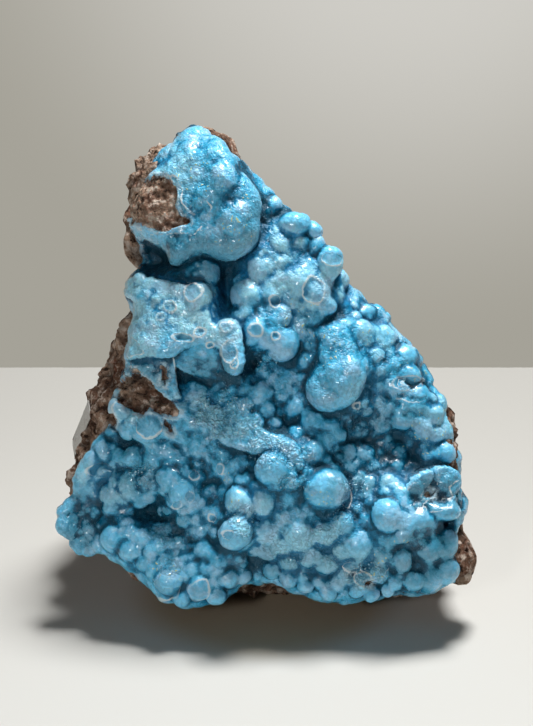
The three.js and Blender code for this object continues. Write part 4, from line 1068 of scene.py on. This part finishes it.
def rock_ridges(points):
    """How far broken rock stands proud of its planes: three waves with straight flanks, of which two are bent
    by others."""
    x, y, z = points.T
    broad = zigzag(0.019 * x + 0.031 * z + 0.22 * zigzag(0.029 * y - 0.017 * x))
    cross = zigzag(0.041 * y - 0.037 * z + 0.28 * zigzag(0.033 * x))
    fine = zigzag(0.083 * x + 0.067 * y + 0.091 * z)
    return sum(height * wave for height, wave in zip(RIDGE_HEIGHTS, (broad, cross, fine)))


def rock_reach(directions):
    """How far the rock reaches from its core: a rounded body between its planes, or a knuckle where that is
    farther, with ridges over both."""
    total = np.zeros(len(directions))
    for normal, distance in ROCK_PLANES:
        normal = np.array(normal) / np.linalg.norm(normal)
        total += np.maximum(0, directions @ normal / distance) ** ROCK_ROUNDING
    reach = total ** (-1 / ROCK_ROUNDING)
    core = (ROCK_CORE - FACE_FOOT) @ FACE_AXES.T
    rays = directions @ FACE_AXES.T
    for knuckle in KNUCKLES:
        _, leave = crossing(core, rays, np.array(knuckle[:3]), np.array(knuckle[3:]))
        reach = np.fmax(reach, leave)
    ridges = rock_ridges(ROCK_CORE + directions * reach[:, None])
    return reach + ridges * (1 - ROCK_SMOOTH_FRONT * np.maximum(0, directions @ OUT))


def label_axes():
    """The label's own axes: along it, across it, and out of the flank that it lies on."""
    along = face_direction(-0.34, -0.7, -0.63)
    along -= LEFT_FLANK * (along @ LEFT_FLANK)
    along /= np.linalg.norm(along)
    return np.stack([along, np.cross(LEFT_FLANK, along), LEFT_FLANK])


def make_rock(material):
    """The rock: a cube's skin blown out to the rock's reach, then broken up by lumps and by pits where crumbs
    have fallen out. It is cut off flat at the table, hollowed at the cave and smoothed under the label."""
    shell, squares = cube_shell(ROCK_SQUARES)
    directions = shell / np.linalg.norm(shell, axis=1, keepdims=True)
    points = ROCK_CORE + directions * rock_reach(directions)[:, None]

    # The cave: points inside it are pushed back to its far side.
    core = (ROCK_CORE - FACE_FOOT) @ FACE_AXES.T
    cave_middle, cave_sizes = np.array(CAVE[:3]), np.array(CAVE[3:]) + ROCK_CAVE_ROOM
    enter, leave = crossing(core, directions @ FACE_AXES.T, cave_middle, cave_sizes)
    reach = np.linalg.norm(points - ROCK_CORE, axis=1)
    with np.errstate(invalid="ignore"):
        reach = np.where((reach > enter) & (reach < leave + 4), np.minimum(reach, enter), reach)
    points = ROCK_CORE + directions * reach[:, None]

    # Lumps, cracks between blocks, pits and crumbs: much lower where the crust covers them.
    normals = corner_normals(points, [squares])
    lumps = broken_noise(points, LUMP_SIZE, 4, SEED + 60)
    nearest, second = pebble_noise(points, BLOCK_SIZE, SEED + 66)
    cracks = 1 - ease(0.04, 0.22, second - nearest)
    pits, _ = pebble_noise(points + 2 * lumps[:, None], PIT_SIZE, SEED + 70)
    hole = (1 - ease(0.2, 0.42, pits)) * ease(-0.5, 0.3, broken_noise(points, 24, 2, SEED + 64))
    crumbs, _ = pebble_noise(points, ROCK_CRUMB_SIZE, SEED + 74)
    rough = LUMP_HEIGHT * lumps - CRACK_DEPTH * cracks - PIT_DEPTH * hole + ROCK_CRUMB_HEIGHT * (0.5 - crumbs)
    hidden = ease(0.75, 0.95, normals @ OUT)
    points = points + normals * (rough * (1 - 0.8 * hidden))[:, None]

    # The seat of the label, and the table.
    along, over, height = ((points - on_face(LABEL_MIDDLE)) @ label_axes().T).T
    outside = np.maximum(np.abs(along) - LABEL_LONG / 2, np.abs(over) - LABEL_WIDE / 2)
    seat = (1 - ease(SEAT_MARGIN, SEAT_MARGIN + SEAT_EDGE, outside)) * (height > -6)
    points = points - (seat * height)[:, None] * LEFT_FLANK
    points[:, 2] = np.maximum(points[:, 2], 0)

    return make_piece(
        "limonite_rock", points, [squares], material, "limonite_matrix",
        {"pit": np.clip(hole + 0.7 * cracks, 0, 1)},
    )


# ---- The label ----


def make_label(material):
    """A worn slip of paper: a grid laid on the flank, wavy by a hair, with rubbed edges and one torn corner.
    Its underside is the same grid a paper's thickness lower, and a rim joins the two."""
    u, v = np.meshgrid(np.linspace(-1, 1, 61), np.linspace(-1, 1, 25), indexing="ij")
    flat = np.column_stack([u.ravel() * LABEL_LONG / 2, v.ravel() * LABEL_WIDE / 2, np.zeros(u.size)])
    edge = np.maximum(np.abs(u), np.abs(v)).ravel() ** 8
    rubbed = np.stack([broken_noise(flat, 2.5, 3, SEED + k) for k in (80, 84)], axis=1)
    flat[:, :2] += LABEL_RUB * edge[:, None] * rubbed
    corner = flat[:, 0] / LABEL_LONG - flat[:, 1] / LABEL_WIDE
    torn = np.maximum(0, corner - 0.8 + 0.03 * zigzag(0.7 * flat[:, 0]))
    flat[:, 0] -= torn * LABEL_LONG * LABEL_TEAR
    flat[:, 1] += torn * LABEL_WIDE * LABEL_TEAR
    flat[:, 2] = SEAM + LABEL_WAVE * (1 + broken_noise(flat, 6, 2, SEED + 90)) * (1 - 0.6 * edge)
    points = np.vstack([flat + (0, 0, LABEL_THICK), flat])
    grid = np.arange(u.size).reshape(u.shape)
    cells = np.stack([grid[:-1, :-1], grid[1:, :-1], grid[1:, 1:], grid[:-1, 1:]], axis=-1).reshape(-1, 4)
    rim = np.concatenate([grid[:-1, 0], grid[-1, :-1], grid[:0:-1, -1], grid[0, :0:-1]])
    ahead = np.roll(rim, -1)
    walls = np.column_stack([rim + u.size, ahead + u.size, ahead, rim])
    faces = [np.vstack([cells, cells[:, ::-1] + u.size, walls])]
    points = on_face(LABEL_MIDDLE) + points @ label_axes()
    return make_piece("paper_label", points, faces, material, "specimen_label")


# ---- Materials ----


def paint(colour):
    """A colour given as it looks on a screen, turned into amounts of light."""
    shares = np.array(colour) / 255
    light = np.where(shares <= 0.04045, shares / 12.92, ((shares + 0.055) / 1.055) ** 2.4)
    return (*light.tolist(), 1.0)


def place(tree, kind, inputs=None, **settings):
    """A node of a kind, with its settings, and each input set to a value or joined to a socket."""
    node = tree.nodes.new(kind)
    for key, value in settings.items():
        setattr(node, key, value)
    for key, value in (inputs or {}).items():
        if isinstance(value, bpy.types.NodeSocket):
            tree.links.new(value, node.inputs[key])
        else:
            node.inputs[key].default_value = value
    return node


def sum_of(tree, operation, first, second=0.0):
    """One step of arithmetic on two numbers."""
    return place(tree, "ShaderNodeMath", {0: first, 1: second}, operation=operation).outputs[0]


def product(tree, first, *others):
    """Numbers multiplied together."""
    for number in others:
        first = sum_of(tree, "MULTIPLY", first, number)
    return first


def total(tree, first, *others):
    """Numbers added up."""
    for number in others:
        first = sum_of(tree, "ADD", first, number)
    return first


def size_of(tree, value):
    """A number without its sign."""
    return sum_of(tree, "ABSOLUTE", value)


def between(tree, value, low, high, start=0.0, end=1.0):
    """Start below low, end above high, and a smooth change between them."""
    return place(
        tree, "ShaderNodeMapRange",
        {"Value": value, "From Min": low, "From Max": high, "To Min": start, "To Max": end},
        interpolation_type="SMOOTHSTEP",
    ).outputs[0]


def blend(tree, share, first, second):
    """The first colour at 0 and the second at 1. Each comes from a socket or is one of the colours above."""
    first, second = (paint(colour) if isinstance(colour, tuple) else colour for colour in (first, second))
    return place(tree, "ShaderNodeMix", {0: share, 6: first, 7: second}, data_type="RGBA").outputs[2]


def layered(tree, colour, layers):
    """A colour with others laid over it in turn. A layer is how much of it shows, and its colour."""
    for share, over in layers:
        colour = blend(tree, share, colour, over)
    return colour


def measured(tree, name):
    """A number that the mesh carries for each of its points."""
    return place(tree, "ShaderNodeAttribute", attribute_name=name).outputs["Fac"]


def millimetres(tree):
    """Where a point is, in millimetres."""
    here = place(tree, "ShaderNodeTexCoord").outputs["Object"]
    return place(tree, "ShaderNodeVectorMath", {0: here, "Scale": 1 / MM}, operation="SCALE").outputs[0]


def mottled(tree, where, size, detail=3.0, roughness=0.55):
    """Cloudy noise from 0 to 1, with clouds of a size in millimetres."""
    return place(
        tree, "ShaderNodeTexNoise",
        {"Vector": where, "Scale": 1 / size, "Detail": detail, "Roughness": roughness},
    ).outputs[0]


def new_group(name, inputs, outputs):
    """An empty node group with named inputs, as (name, kind, value), and named outputs."""
    tree = bpy.data.node_groups.new(name, "ShaderNodeTree")
    for label, kind, value in inputs:
        socket = tree.interface.new_socket(name=label, in_out="INPUT", socket_type=kind)
        if value is not None:
            socket.default_value = value
    for label, kind in outputs:
        tree.interface.new_socket(name=label, in_out="OUTPUT", socket_type=kind)
    return tree, tree.nodes.new("NodeGroupInput").outputs, tree.nodes.new("NodeGroupOutput").inputs


def sugar_grain():
    """Grains of one size, each a small dome with its own random shade."""
    tree, given, result = new_group(
        "sugar_grain",
        [("Vector", "NodeSocketVector", None), ("Size", "NodeSocketFloat", 1.0)],
        [("Height", "NodeSocketFloat"), ("Shade", "NodeSocketFloat"), ("Middle", "NodeSocketFloat")],
    )
    scale = sum_of(tree, "DIVIDE", 1.0, given["Size"])
    cells = place(tree, "ShaderNodeTexVoronoi", {"Vector": given["Vector"], "Scale": scale})
    dome = between(tree, cells.outputs["Distance"], 0.0, 0.75, 1.0, 0.0)
    parts = place(tree, "ShaderNodeSeparateColor", {"Color": cells.outputs["Color"]})
    tree.links.new(dome, result["Height"])
    tree.links.new(parts.outputs[0], result["Shade"])
    tree.links.new(between(tree, cells.outputs["Distance"], 0.16, 0.34, 1.0, 0.0), result["Middle"])
    return tree


def broken_limonite(grain):
    """Crumbly brown rock: tan, red-brown and near-black in clouds, darker in its pits, and its relief."""
    tree, given, result = new_group(
        "broken_limonite",
        [("Vector", "NodeSocketVector", None), ("Pit", "NodeSocketFloat", 0.0)],
        [("Colour", "NodeSocketColor"), ("Height", "NodeSocketFloat")],
    )
    where = given["Vector"]
    clouds = mottled(tree, where, 16, 4)
    spots = mottled(tree, where, 3.2, 5, 0.65)
    stains = mottled(tree, where, 9, 3)
    crumbs = place(tree, "ShaderNodeGroup", {"Vector": where, "Size": 1.5}, node_tree=grain).outputs
    colour = layered(tree, ROCK_BROWN, [
        (between(tree, clouds, 0.38, 0.62), ROCK_TAN),
        (between(tree, spots, 0.5, 0.6), ROCK_PALE),
        (between(tree, spots, 0.47, 0.36), ROCK_BLACK),
        (between(tree, stains, 0.56, 0.7, 0, 0.6), ROCK_RED),
        (product(tree, crumbs["Shade"], 0.35), CRUMB_BROWN),
        (product(tree, given["Pit"], 0.75), PIT_BROWN),
    ])
    tree.links.new(colour, result["Colour"])
    tree.links.new(total(tree, product(tree, crumbs["Height"], 0.45), spots), result["Height"])
    return tree


def new_material(name, roughness, **settings):
    """A material with one Principled shader and its plain settings."""
    material = bpy.data.materials.new(name)
    material.use_nodes = True
    shader = material.node_tree.nodes["Principled BSDF"]
    shader.inputs["Roughness"].default_value = roughness
    for key, value in settings.items():
        shader.inputs[key.replace("_", " ")].default_value = value
    return material, material.node_tree, shader


def relief(tree, height, depth):
    """A normal for relief of a depth in millimetres."""
    bump = place(tree, "ShaderNodeBump", {"Height": height, "Distance": depth * MM, "Strength": 1.0})
    return bump.outputs[0]


def crust_fields(tree, grain, rock):
    """What the looks of the crust are worked out from: noises, grains, the numbers that its mesh carries, and
    the rock that shows in its bare patches."""
    where = millimetres(tree)
    nudge = place(tree, "ShaderNodeTexNoise", {"Vector": where, "Scale": 0.4, "Detail": 3.0}).outputs[1]
    bent = place(
        tree, "ShaderNodeVectorMath", {0: nudge, 1: (3.0, 3.0, 3.0), 2: where}, operation="MULTIPLY_ADD"
    ).outputs[0]
    names = ("proud", "crisp", "druse", "glassy", "frost", "gold")
    f = SimpleNamespace(**{name: measured(tree, name) for name in names})
    f.fine, f.coarse, f.bubbles = (
        place(tree, "ShaderNodeGroup", {"Vector": at, "Size": size}, node_tree=grain).outputs
        for at, size in ((bent, 0.8), (bent, 1.3), (where, 2.6))
    )
    f.clouds = mottled(tree, where, 13, 3)
    f.veil = mottled(tree, where, 7, 4, 0.6)
    f.wisps = mottled(tree, where, 3.0, 5, 0.65)

    # The edges of broken balls and of bare patches, in millimetres, frayed by the wisps.
    fray = total(tree, f.wisps, -0.5)
    f.line = total(tree, measured(tree, "line"), fray)
    f.bare = total(tree, measured(tree, "bare"), product(tree, fray, 3.2))
    f.shown = between(tree, f.bare, 0.25, -0.25)
    pit = between(tree, f.crisp, 0.1, -0.5, 0, 0.7)
    f.crumbly = place(tree, "ShaderNodeGroup", {"Vector": where, "Pit": pit}, node_tree=rock).outputs
    return f


def crust_tone(tree, f):
    """How light the crust is, from below 0 deep in the valleys to above 1 on the tops of the balls: the sum
    of how far it stands out (painted shade in the valleys and creases, painted light on the tops), clouds,
    wisps, how far it turns away (painted shade at its edges), the bubbles inside it, and druse."""
    facing = place(tree, "ShaderNodeLayerWeight", {"Blend": 0.4}).outputs["Facing"]
    inner = total(tree, f.bubbles["Height"], product(tree, f.bubbles["Shade"], 0.6), -0.85)
    return total(
        tree,
        # Painted shade in the valleys and creases, and painted light on what stands out.
        product(tree, between(tree, f.proud, -4.5, 3.0, -4.5, 2.4), 0.1),
        product(tree, f.crisp, 1.1),
        product(tree, total(tree, f.clouds, -0.5), 1.7),
        product(tree, total(tree, f.wisps, -0.5), 1.5),
        # Painted shade where the surface turns away from the view.
        product(tree, facing, -0.9),
        product(tree, inner, between(tree, f.glassy, 0.0, 0.8, 0.4, 0.75)),
        product(tree, f.druse, 0.3),
        0.72,
    )


def crust_colour(tree, f, tone):
    """Blue by its tone, with its painted shade and light, then frost, a dust-like veil, glassy places,
    painted glints on grains and crystals with painted shade in their gaps, gold specks, painted shade in the
    deepest valleys, broken balls with their rings, and bare rock with a pale rim."""
    # Frost and glass are lighter where the tone paints light and darker where it paints shade.
    frosted = blend(tree, between(tree, tone, 0.1, 0.8), FROST_LOW, FROST_HIGH)
    glass = blend(tree, between(tree, tone, 0.2, 0.8), GLASS_LOW, GLASS_HIGH)
    # Painted glints: pale dots on the grains and crystals, and painted shade in the gaps between them.
    grains = product(tree, f.fine["Middle"], between(tree, f.fine["Shade"], 0.45, 0.7))
    crystals = product(tree, f.coarse["Middle"], between(tree, f.coarse["Shade"], 0.5, 0.65))
    gaps = between(tree, f.coarse["Height"], 0.3, 0.0, 0, 0.35)
    specks = product(tree, f.coarse["Middle"], between(tree, f.coarse["Shade"], 0.6, 0.68))
    specks = product(tree, specks, between(tree, f.gold, 0.1, 0.8, 0, 0.85), between(tree, tone, 0.25, 0.6))
    rings = between(tree, size_of(tree, f.line), 0.5, 0.1, 0, 0.85)
    rims = between(tree, size_of(tree, total(tree, f.bare, -0.7)), 1.1, 0.1, 0, 0.8)
    return layered(tree, VALLEY_BLUE, [
        # The tone's painted shade in the valleys and painted light on the tops.
        (between(tree, tone, -0.3, 0.25), FLANK_BLUE),
        (between(tree, tone, 0.2, 0.7), BALL_BLUE),
        (between(tree, tone, 0.7, 1.25), TOP_BLUE),
        (product(tree, f.frost, between(tree, f.wisps, 0.35, 0.6, 0.55, 0.85)), frosted),
        (product(tree, between(tree, f.veil, 0.48, 0.62, 0, 0.65), between(tree, tone, 0.3, 0.9)), VEIL_BLUE),
        (product(tree, f.glassy, 0.75), glass),
        (product(tree, grains, between(tree, f.druse, 0.0, 0.9, 0.04, 0.7)), GRAIN_GLINT_BLUE),
        (product(tree, crystals, between(tree, f.druse, 0.3, 0.9, 0.0, 0.9)), CRYSTAL_GLINT_BLUE),
        # Painted shade in the gaps between the grains.
        (product(tree, gaps, between(tree, f.druse, 0.0, 0.8, 0.4, 1.0)), GAP_SHADE_BLUE),
        (specks, SPECK_GOLD),
        # Painted shade: the deepest valleys are darkened.
        (between(tree, f.proud, -4.0, -11.0, 0, 0.85), DEEP_SHADE_BLUE),
        (between(tree, f.line, 0.0, -0.9, 0, 0.35), HOLLOW_BLUE),
        (product(tree, rings, between(tree, f.clouds, 0.4, 0.52, 0.35, 1.0)), RING_WHITE),
        (product(tree, rims, between(tree, f.wisps, 0.42, 0.56, 0.1, 1.0)), RIM_WHITE),
        (f.shown, f.crumbly["Colour"]),
    ])


def crust_roughness(tree, f):
    """The glassy places are the smoothest, the valleys and the bare rock the roughest."""
    rough = total(
        tree,
        between(tree, f.druse, 0.0, 1.0, 0.31, 0.24),
        between(tree, f.crisp, 0.0, -0.4, 0.0, 0.3),
        product(tree, f.glassy, -0.12),
    )
    return sum_of(tree, "MAXIMUM", rough, product(tree, f.shown, 0.9))


def crust_height(tree, f):
    """Fine relief: grains, mostly in the druse, wisps, bubbles in the valleys, and crumbs of bare rock."""
    return total(
        tree,
        product(tree, f.coarse["Height"], between(tree, f.druse, 0.2, 0.9, 0.1, 1.3)),
        product(tree, f.fine["Height"], between(tree, f.druse, 0.0, 0.9, 0.15, 0.6)),
        product(tree, f.wisps, 0.6),
        product(tree, f.bubbles["Height"], between(tree, f.proud, 1.0, -1.5, 0.3, 1.0)),
        product(tree, f.crumbly["Height"], f.shown),
    )


def hemimorphite_material(grain, rock):
    """Waxy blue crust with a little light under its surface, painted shade in its valleys, painted light on
    its tops and painted glints on its grains, wet where it stands proud, and brown rock where it is bare."""
    material, tree, shader = new_material(
        "waxy_hemimorphite", 0.42, Subsurface_Weight=0.3, Subsurface_Radius=(0.4, 1.0, 1.2),
        Subsurface_Scale=0.0008, Coat_Weight=0.25, Coat_Roughness=0.12, IOR=1.45,
    )
    f = crust_fields(tree, grain, rock)
    wet = product(tree, between(tree, f.crisp, -0.2, 0.15, 0.03, 0.5), sum_of(tree, "SUBTRACT", 1.0, f.shown))
    tree.links.new(crust_colour(tree, f, crust_tone(tree, f)), shader.inputs["Base Color"])
    tree.links.new(crust_roughness(tree, f), shader.inputs["Roughness"])
    tree.links.new(wet, shader.inputs["Coat Weight"])
    tree.links.new(relief(tree, crust_height(tree, f), 0.5), shader.inputs["Normal"])
    return material


def limonite_material(rock):
    """Rough brown rock, dark where it is pitted."""
    material, tree, shader = new_material("crumbly_limonite", 0.92, Specular_IOR_Level=0.25)
    stone = place(
        tree, "ShaderNodeGroup", {"Vector": millimetres(tree), "Pit": measured(tree, "pit")}, node_tree=rock
    )
    tree.links.new(stone.outputs["Colour"], shader.inputs["Base Color"])
    tree.links.new(relief(tree, stone.outputs["Height"], 0.9), shader.inputs["Normal"])
    return material


def label_material(rock):
    """Matt white paper, faintly fibrous, with brown dust rubbed into it."""
    material, tree, shader = new_material("worn_paper", 0.85, Specular_IOR_Level=0.3)
    where = millimetres(tree)
    fibre = mottled(tree, where, 0.7, 4, 0.7)
    colour = blend(tree, between(tree, fibre, 0.35, 0.65), PAPER_LOW, PAPER_HIGH)
    grime = mottled(tree, where, 4, 5, 0.65)
    stone = place(tree, "ShaderNodeGroup", {"Vector": where}, node_tree=rock)
    colour = blend(tree, between(tree, grime, 0.52, 0.72, 0.03, 0.45), colour, stone.outputs["Colour"])
    tree.links.new(colour, shader.inputs["Base Color"])
    tree.links.new(relief(tree, fibre, 0.08), shader.inputs["Normal"])
    return material


# ---- The table, the wall behind it, the lights and the camera ----


def stage_sheet(name, corners):
    """A flat sheet of the stage, from its corners in metres, with a dull material of its own."""
    mesh = bpy.data.meshes.new(name)
    mesh.from_pydata(corners, [], [(0, 1, 2, 3)])
    material, tree, shader = new_material(name, 0.8, Specular_IOR_Level=0.2)
    mesh.materials.append(material)
    sheet = bpy.data.objects.new(name, mesh)
    bpy.context.scene.collection.objects.link(sheet)
    return tree, shader


def far_from(tree, middle):
    """How far a point is from a middle, in metres."""
    here = place(tree, "ShaderNodeTexCoord").outputs["Object"]
    return place(tree, "ShaderNodeVectorMath", {0: here, 1: middle}, operation="DISTANCE").outputs["Value"]


def make_table():
    """A white table top that ends behind the specimen. It is painted a little paler in front, as painted
    light, and a brownish painted shadow lies round the specimen's foot."""
    tree, shader = stage_sheet("table_top", [
        (-TABLE_SIDE, -TABLE_SIDE, 0), (TABLE_SIDE, -TABLE_SIDE, 0), (TABLE_SIDE, TABLE_BACK, 0),
        (-TABLE_SIDE, TABLE_BACK, 0),
    ])
    here = place(tree, "ShaderNodeTexCoord").outputs["Object"]
    depth = place(tree, "ShaderNodeSeparateXYZ", {0: here}).outputs["Y"]
    # Painted light: the table is paler towards the front.
    pale = blend(tree, between(tree, depth, 0.2, -0.2), TABLE_FAR, TABLE_FRONT)
    # Painted shadow: brownish round the specimen's foot.
    shadow_paint = between(tree, far_from(tree, SHADOW_PAINT_MIDDLE), SHADOW_PAINT_FAR, SHADOW_PAINT_NEAR, 0, 0.8)
    tree.links.new(blend(tree, shadow_paint, pale, TABLE_SHADOW_PAINT), shader.inputs["Base Color"])


def make_wall():
    """A plain grey wall far behind the table, which glows by itself, with a pool of light up on its right."""
    tree, shader = stage_sheet("studio_wall", [
        (-WALL_SIDE, WALL_BACK, WALL_LOW), (WALL_SIDE, WALL_BACK, WALL_LOW), (WALL_SIDE, WALL_BACK, WALL_TOP),
        (-WALL_SIDE, WALL_BACK, WALL_TOP),
    ])
    shader.inputs["Base Color"].default_value = paint(WALL_SKIN)
    glow = between(tree, far_from(tree, WALL_GLOW), GLOW_FAR, GLOW_NEAR)
    tree.links.new(blend(tree, glow, WALL_DIM, WALL_BRIGHT), shader.inputs["Emission Color"])
    shader.inputs["Emission Strength"].default_value = 1.0


def aim(thing, stand, target):
    """Stands a light or camera at a spot, in metres, and points it at a target."""
    thing.location = stand
    thing.rotation_euler = (Vector(target) - Vector(stand)).to_track_quat("-Z", "Y").to_euler()


def make_lights():
    """A lamp above and a little behind, a small one in front, a broad low fill, and dim light all round,
    which the camera sees as plain grey past the wall."""
    for name, stand, size, power in LAMPS:
        light = bpy.data.lights.new(name, "AREA")
        light.shape = "DISK"
        light.size = size
        light.energy = power
        lamp = bpy.data.objects.new(name, light)
        lamp.visible_camera = False
        aim(lamp, stand, LAMP_TARGET)
        bpy.context.scene.collection.objects.link(lamp)
    world = bpy.data.worlds.new("studio_air")
    world.use_nodes = True
    air = world.node_tree.nodes["Background"]
    air.inputs["Color"].default_value = paint(AIR_COLOUR)
    tree = world.node_tree
    seen = place(tree, "ShaderNodeLightPath").outputs["Is Camera Ray"]
    tree.links.new(between(tree, seen, 0, 1, AIR_STRENGTH, AIR_SEEN), air.inputs["Strength"])
    bpy.context.scene.world = world


def make_camera():
    """The camera looks straight at the face, along the line of its lean."""
    lens = bpy.data.cameras.new("camera")
    lens.sensor_width = SENSOR_LONG
    lens.lens = SENSOR_LONG * IMAGE_SCALE * CAMERA_DISTANCE / IMAGE_LONG
    camera = bpy.data.objects.new("camera", lens)
    target = on_face(np.array([CAMERA_ACROSS, CAMERA_UP, 0.0]))
    aim(camera, tuple((target + CAMERA_DISTANCE * OUT) * MM), tuple(target * MM))
    bpy.context.scene.collection.objects.link(camera)
    bpy.context.scene.camera = camera


grain_group = sugar_grain()
rock_group = broken_limonite(grain_group)
make_crust(hemimorphite_material(grain_group, rock_group))
make_rock(limonite_material(rock_group))
make_label(label_material(rock_group))
make_table()
make_wall()
make_lights()
make_camera()
bpy.context.scene.view_settings.view_transform = "Standard"
